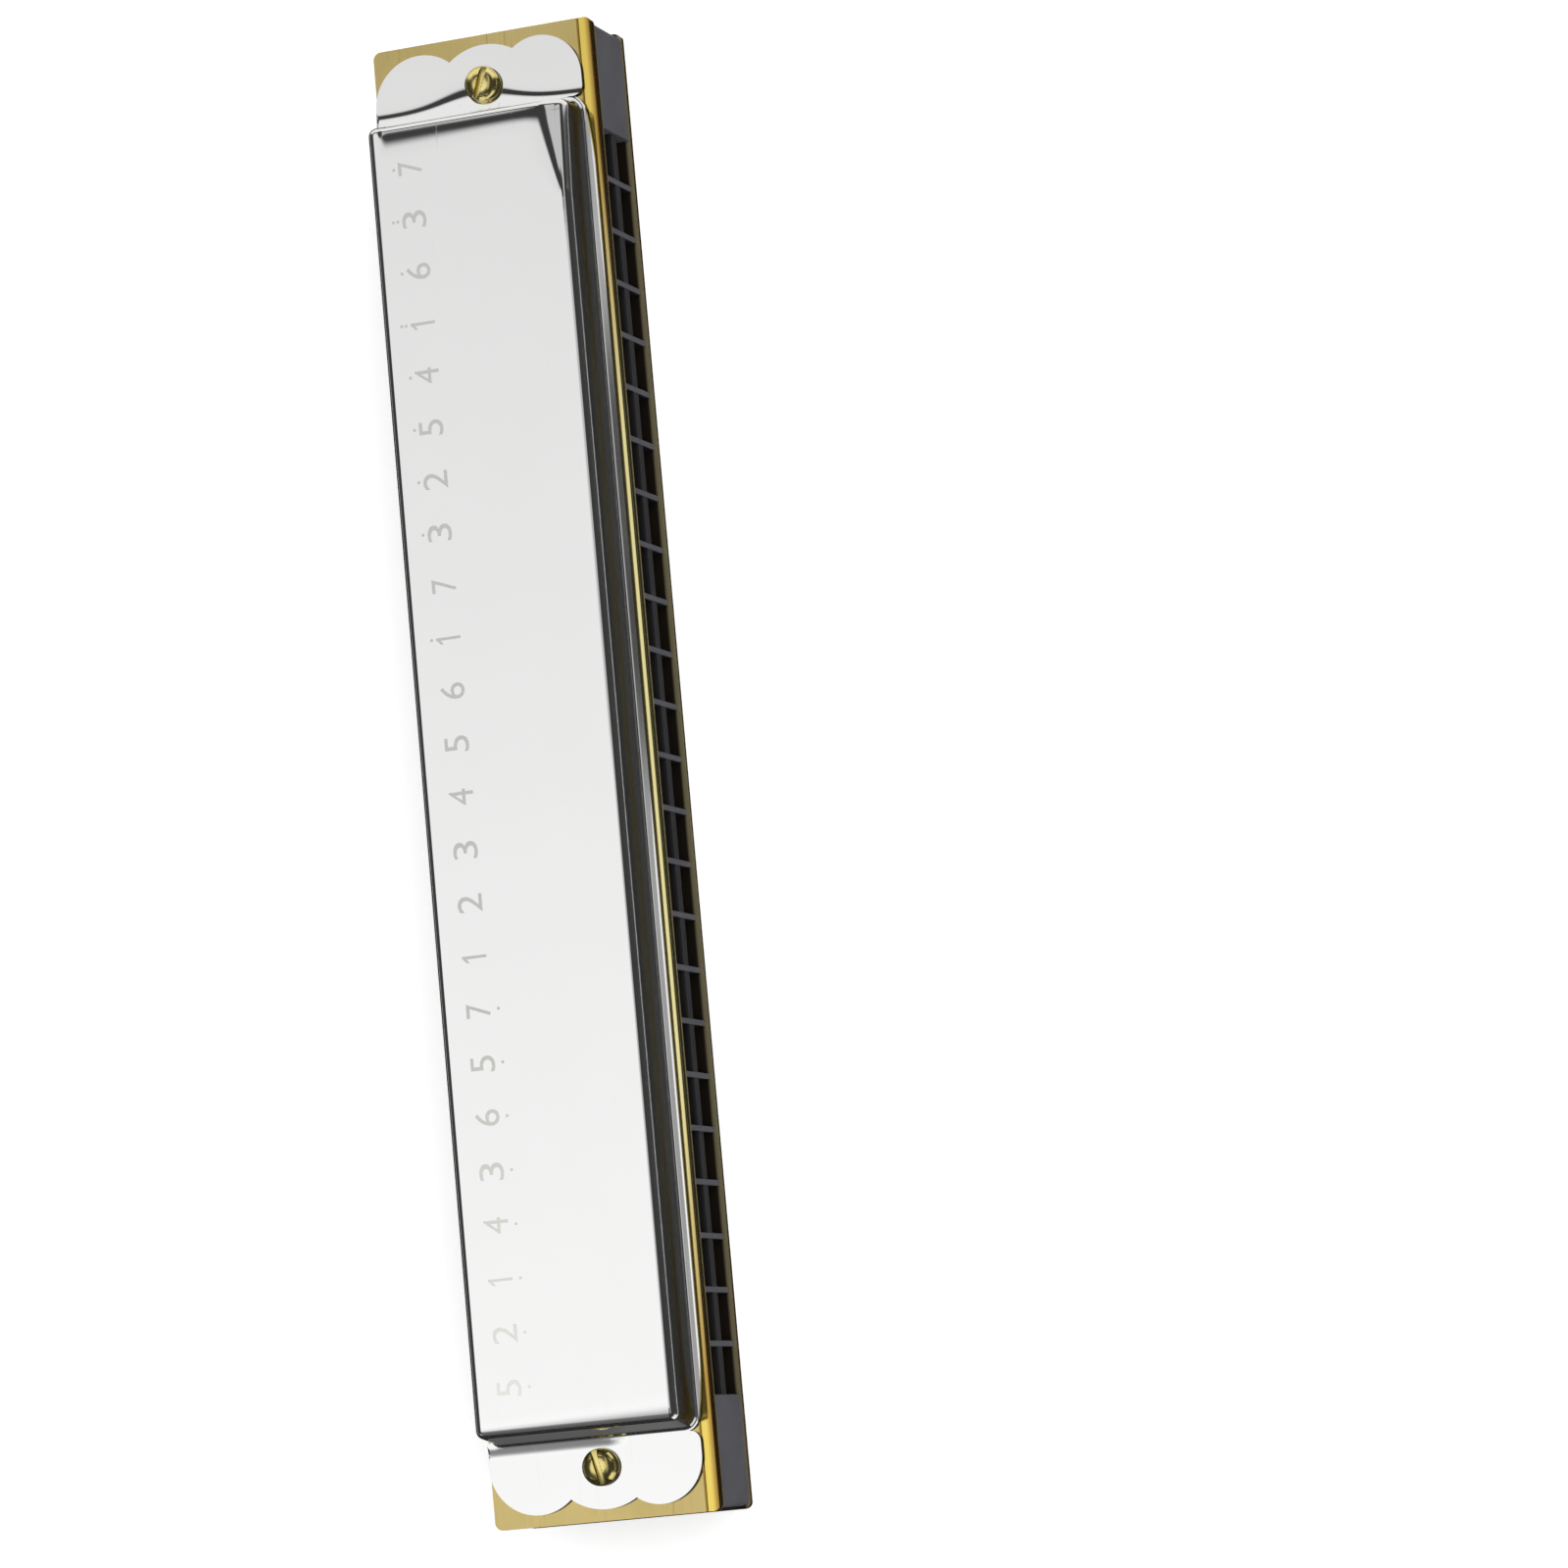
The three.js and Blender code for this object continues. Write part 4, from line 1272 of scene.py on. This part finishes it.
def threaded(form, x, y, radius, low, high, sides=32, steps_per_turn=10):
    """Adds a rod with a screw thread cut round it"""
    count = int((high - low) / thread_pitch * steps_per_turn)
    rings = []
    for j in range(count + 1):
        z = low + (high - low) * j / count
        ring = []
        for i in range(sides):
            turn = (z / thread_pitch - i / sides) % 1
            run_out = soft_step(0, thread_pitch, z - low)
            reach = radius - thread_depth * (abs(2 * turn - 1) * run_out + (1 - run_out))
            ring.append(form.verts.new((x + reach * cos(2 * pi * i / sides),
                                        y + reach * sin(2 * pi * i / sides), z)))
        rings.append(ring)
    faces = [form.faces.new(rings[0]), form.faces.new(rings[-1])]
    for first, second in zip(rings, rings[1:]):
        for i in range(sides):
            faces.append(form.faces.new((first[i - 1], first[i], second[i], second[i - 1])))
    bmesh.ops.recalc_face_normals(form, faces=faces)


def slotted_bolt(name, x, turn, foot):
    """A bolt with its head's slot turned by an angle, and its thread down to the foot"""
    head = [(0, tab_top), *flat_dome(head_radius, head_rim, head_height, tab_top)]
    bolt = turned_piece(name, x, bolt_y, head, turned_sides)
    reach = head_radius + overrun
    driver = block("driver", (-reach, -slot_width / 2, tab_top + head_height - slot_depth),
                   (reach, slot_width / 2, tab_top + head_height + overrun))
    driver.data.transform(Matrix.Translation((x, bolt_y, 0)) @ Matrix.Rotation(turn, 4, "Z"))
    cut(bolt, driver)
    eased(bolt, head_edge, steps=3)
    form = bmesh.new()
    form.from_mesh(bolt.data)
    threaded(form, x, bolt_y, bolt_radius, foot, tab_top + thread_lap)
    form.to_mesh(bolt.data)
    form.free()
    polished(bolt, bolt_brass, sharp_angle=radians(40))
    return bolt


def six_sided_nut(name, x, low, high):
    """A nut between two levels, chamfered by turning and bored for the bolt"""
    corner = nut_flat_radius / cos(pi / 6)
    nut = solid(name, arc(x, bolt_y, corner, 0, 2 * pi * 5 / 6, 5), low, high, upright)
    chamfered = corner - nut_chamfer
    blank_radius = corner * blank_share
    chamfer_drop = nut_chamfer * chamfer_drop_share
    blank = [(0, low), (chamfered, low), (blank_radius, low + chamfer_drop),
             (blank_radius, high - chamfer_drop), (chamfered, high), (0, high)]
    cut(nut, turned_piece("nut blank", x, bolt_y, blank, turned_sides), "INTERSECT")
    bore = [(0, low - overrun), (bolt_hole_radius, low - overrun),
            (bolt_hole_radius, high + overrun), (0, high + overrun)]
    cut(nut, turned_piece("nut bore", x, bolt_y, bore, bore_sides))
    eased(nut, head_edge)
    nut.data.materials.append(bolt_brass)
    return nut


for end_name, turn in bolt_turns.items():
    x = bolt_x if end_name == "high_end" else -bolt_x
    bolt_node = f"bolt_{end_name}"
    nut_node = f"nut_{end_name}"
    bolt = slotted_bolt(f"brass_{bolt_node}", x, turn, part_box(bolt_node)[0].z)
    low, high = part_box(nut_node)
    nut = six_sided_nut(f"brass_{nut_node}", x, low.z, high.z)
    for piece, node in ((bolt, bolt_node), (nut, nut_node)):
        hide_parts(node)
        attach(piece, "root")


# Floor: a plain pale sheet of paper that the instrument lies on.
# To the camera it glows a little, so that it shows white round the instrument's shadow.
floor_half = 3.0
paper_glow = 0.4
floor_mesh = bpy.data.meshes.new("floor")
floor_mesh.from_pydata([(-floor_half, -floor_half, 0), (floor_half, -floor_half, 0),
                        (floor_half, floor_half, 0), (-floor_half, floor_half, 0)], [], [(0, 1, 2, 3)])
floor = linked("floor", floor_mesh)
floor_paper, tree, shader = finish("floor paper", metallic=0, specular=0.0)
shader.inputs["Base Color"].default_value = (0.93, 0.93, 0.93, 1)
shader.inputs["Roughness"].default_value = 1
shader.inputs["Emission Color"].default_value = (1, 1, 1, 1)
floor_glow = math(tree, "MULTIPLY", add(tree, "ShaderNodeLightPath").outputs["Is Camera Ray"], paper_glow)
tree.links.new(floor_glow.outputs[0], shader.inputs["Emission Strength"])
floor.data.materials.append(floor_paper)

# Flags: three dark cards that only reflections see, beside the mouth side, the rear and the low end.
# They lie just above the floor, and the one at the low end also stands up at its far edge.
card_black, tree, shader = finish("card black", metallic=0, specular=0.0)
shader.inputs["Base Color"].default_value = (0.030, 0.031, 0.030, 1)
shader.inputs["Roughness"].default_value = 1
card_lap = 0.5 * mm
card_level = 0.5 * mm
card_reach = 400 * mm
card_half = 200 * mm
end_card_reach = 45 * mm
end_card_height = 72 * mm
end_card_front = -25 * mm
end_card_rear = 130 * mm
front_near = plate_low.y + card_lap
rear_near = plate_high.y - card_lap
end_near = plate_low.x + card_lap
end_far = end_near - end_card_reach


def flat_card(near, far):
    """Corners of a card that lies along the instrument, from its near edge to its far one"""
    return [(x, y, card_level) for y in (near, far) for x in (-card_half, card_half)]


card_corners = {
    "front_flag": flat_card(front_near, front_near - card_reach),
    "rear_flag": flat_card(rear_near, rear_near + card_reach),
    "low_end_flag": [(x, y, z)
                     for x, z in ((end_near, card_level), (end_far, card_level), (end_far, end_card_height))
                     for y in (end_card_front, end_card_rear)],
}
for name, corners in card_corners.items():
    card_mesh = bpy.data.meshes.new(name)
    card_mesh.from_pydata(corners, [], [(i, i + 1, i + 3, i + 2) for i in range(0, len(corners) - 2, 2)])
    card = linked(name, card_mesh)
    card.data.materials.append(card_black)
    card.visible_camera = False
    card.visible_diffuse = False
    card.visible_shadow = False
    card.visible_transmission = False
    card.visible_volume_scatter = False


# Studio: what the chrome sees is a dark room with white panels overhead and pale walls at both ends.
# Two soft lamps give the floor and the matt surfaces a plain light and stay out of reflections.
# The angles are in degrees: over_x and over_y lean from straight up toward +X and +Y.
world = bpy.data.worlds.new("studio")
bpy.context.scene.world = world
world.use_nodes = True
sky = world.node_tree
sky.nodes.clear()
direction = add(sky, "ShaderNodeSeparateXYZ", {0: add(sky, "ShaderNodeTexCoord").outputs["Generated"]})
toward_x, toward_y, toward_z = (direction.outputs[i] for i in range(3))


def lean(sideways, upward):
    return math(sky, "DEGREES", math(sky, "ARCTAN2", sideways, upward))


def sky_ramp(value, low, high, at_low, at_high, kind="LINEAR"):
    return mapped(sky, value, low, high, at_low, at_high, kind)


def window(value, low, high, soft):
    """One between low and high, fading to nought over a soft edge"""
    rise = sky_ramp(value, low - soft, low + soft, 0, 1, "SMOOTHSTEP")
    fall = sky_ramp(value, high - soft, high + soft, 1, 0, "SMOOTHSTEP")
    return math(sky, "MULTIPLY", rise, fall)


def combined(operation, *values):
    """Several values of the sky multiplied together, or the greatest of them"""
    result = values[0]
    for value in values[1:]:
        result = math(sky, operation, result, value)
    return result


over_x = lean(toward_x, toward_z)
over_y = lean(toward_y, toward_z)
elevation = math(sky, "DEGREES", math(sky, "ARCSINE", toward_z))

# The main panel, which lights the crown: it fades a little toward +X and falls off at both ends
main_panel = combined(
    "MULTIPLY", window(over_y, low=7, high=33, soft=2),
    sky_ramp(over_x, low=-60, high=-14, at_low=0, at_high=1),
    sky_ramp(over_x, low=-14, high=-1.5, at_low=0.12, at_high=1, kind="SMOOTHSTEP"),
    sky_ramp(over_x, low=17, high=23, at_low=1, at_high=0, kind="SMOOTHSTEP"),
    sky_ramp(over_x, low=0, high=16, at_low=1.02, at_high=0.75))
second_panel = combined(
    "MULTIPLY", window(over_y, low=5, high=36, soft=2), window(over_x, low=34, high=60, soft=2), 0.85)

# The pale walls, low down toward +X and -X
flat_reach = math(sky, "SQRT", math(sky, "ADD", math(sky, "MULTIPLY", toward_x, toward_x),
                                    math(sky, "MULTIPLY", toward_y, toward_y)))
least_reach = 0.0001
sideways = math(sky, "DIVIDE", math(sky, "ABSOLUTE", toward_x), math(sky, "MAXIMUM", flat_reach, least_reach))
raised = math(sky, "ADD", elevation, sky_ramp(toward_x, low=-0.1, high=0.1, at_low=8, at_high=0))
wall_glow = combined(
    "MULTIPLY", sky_ramp(raised, low=34, high=50, at_low=0.85, at_high=0, kind="SMOOTHSTEP"),
    sky_ramp(sideways, low=0.42, high=0.6, at_low=0, at_high=1, kind="SMOOTHSTEP"))

# What the front flange and the high-end facet see, and a faint band along the horizon
front_patch = combined(
    "MULTIPLY", window(over_y, low=-12, high=-3.5, soft=1), window(over_x, low=-14, high=31, soft=2),
    sky_ramp(over_x, low=8, high=13, at_low=0.42, at_high=0.52, kind="SMOOTHSTEP"))
fill = combined(
    "MULTIPLY", window(over_y, low=-6, high=8, soft=1), window(over_x, low=-5, high=12.6, soft=0.3),
    sky_ramp(over_y, low=-6, high=8, at_low=0.30, at_high=0.95))
horizon = combined("MULTIPLY", window(elevation, low=-2, high=5, soft=1.5), 0.2)

brightest = combined("MAXIMUM", main_panel, second_panel, wall_glow, front_patch, fill, horizon)
room_glow = 0.045
glow = math(sky, "ADD", brightest, room_glow)
seen = add(sky, "ShaderNodeLightPath").outputs["Is Camera Ray"]
strength = add(sky, "ShaderNodeMix", {"Factor": seen, "A": glow, "B": 1.0}, data_type="FLOAT")
backdrop = add(sky, "ShaderNodeBackground", {"Color": (1.0, 1.0, 1.0, 1), "Strength": strength.outputs[0]})
add(sky, "ShaderNodeOutputWorld", {"Surface": backdrop})

lamp_places = {"left_lamp": (-0.55, -0.75, 1.55), "right_lamp": (0.55, -0.75, 1.55)}
lamp_power = 15.0
lamp_size = 1.5
for name, place in lamp_places.items():
    light = bpy.data.lights.new(name, "AREA")
    light.energy = lamp_power
    light.size = lamp_size
    lamp = linked(name, light)
    lamp.location = place
    lamp.rotation_euler = (-Vector(place)).to_track_quat("-Z", "Y").to_euler()
    lamp.visible_camera = False
    lamp.visible_glossy = False


# Camera: a long lens from above the mouth side, with the high end of the instrument at the top.
# Its place and its turn are those from which the instrument's corners lie as they do in the picture.
camera_place = Vector((-98.0, -264.9, 718.5)) * mm
camera_ahead = Vector((0.12362, 0.31474, -0.94109)).normalized()
camera_right = Vector((-0.08924, -0.9410, -0.32643))
camera_up = camera_right.cross(camera_ahead).normalized()
camera_right = camera_ahead.cross(camera_up)
camera_data = bpy.data.cameras.new("camera")
camera_data.sensor_width = 36
camera_data.lens = 141.6
camera_data.clip_start = 0.01
camera = linked("camera", camera_data)
camera.matrix_world = Matrix.Translation(camera_place) @ Matrix(
    (camera_right, camera_up, -camera_ahead)).transposed().to_4x4()
bpy.context.scene.camera = camera
bpy.context.scene.view_settings.view_transform = "Standard"
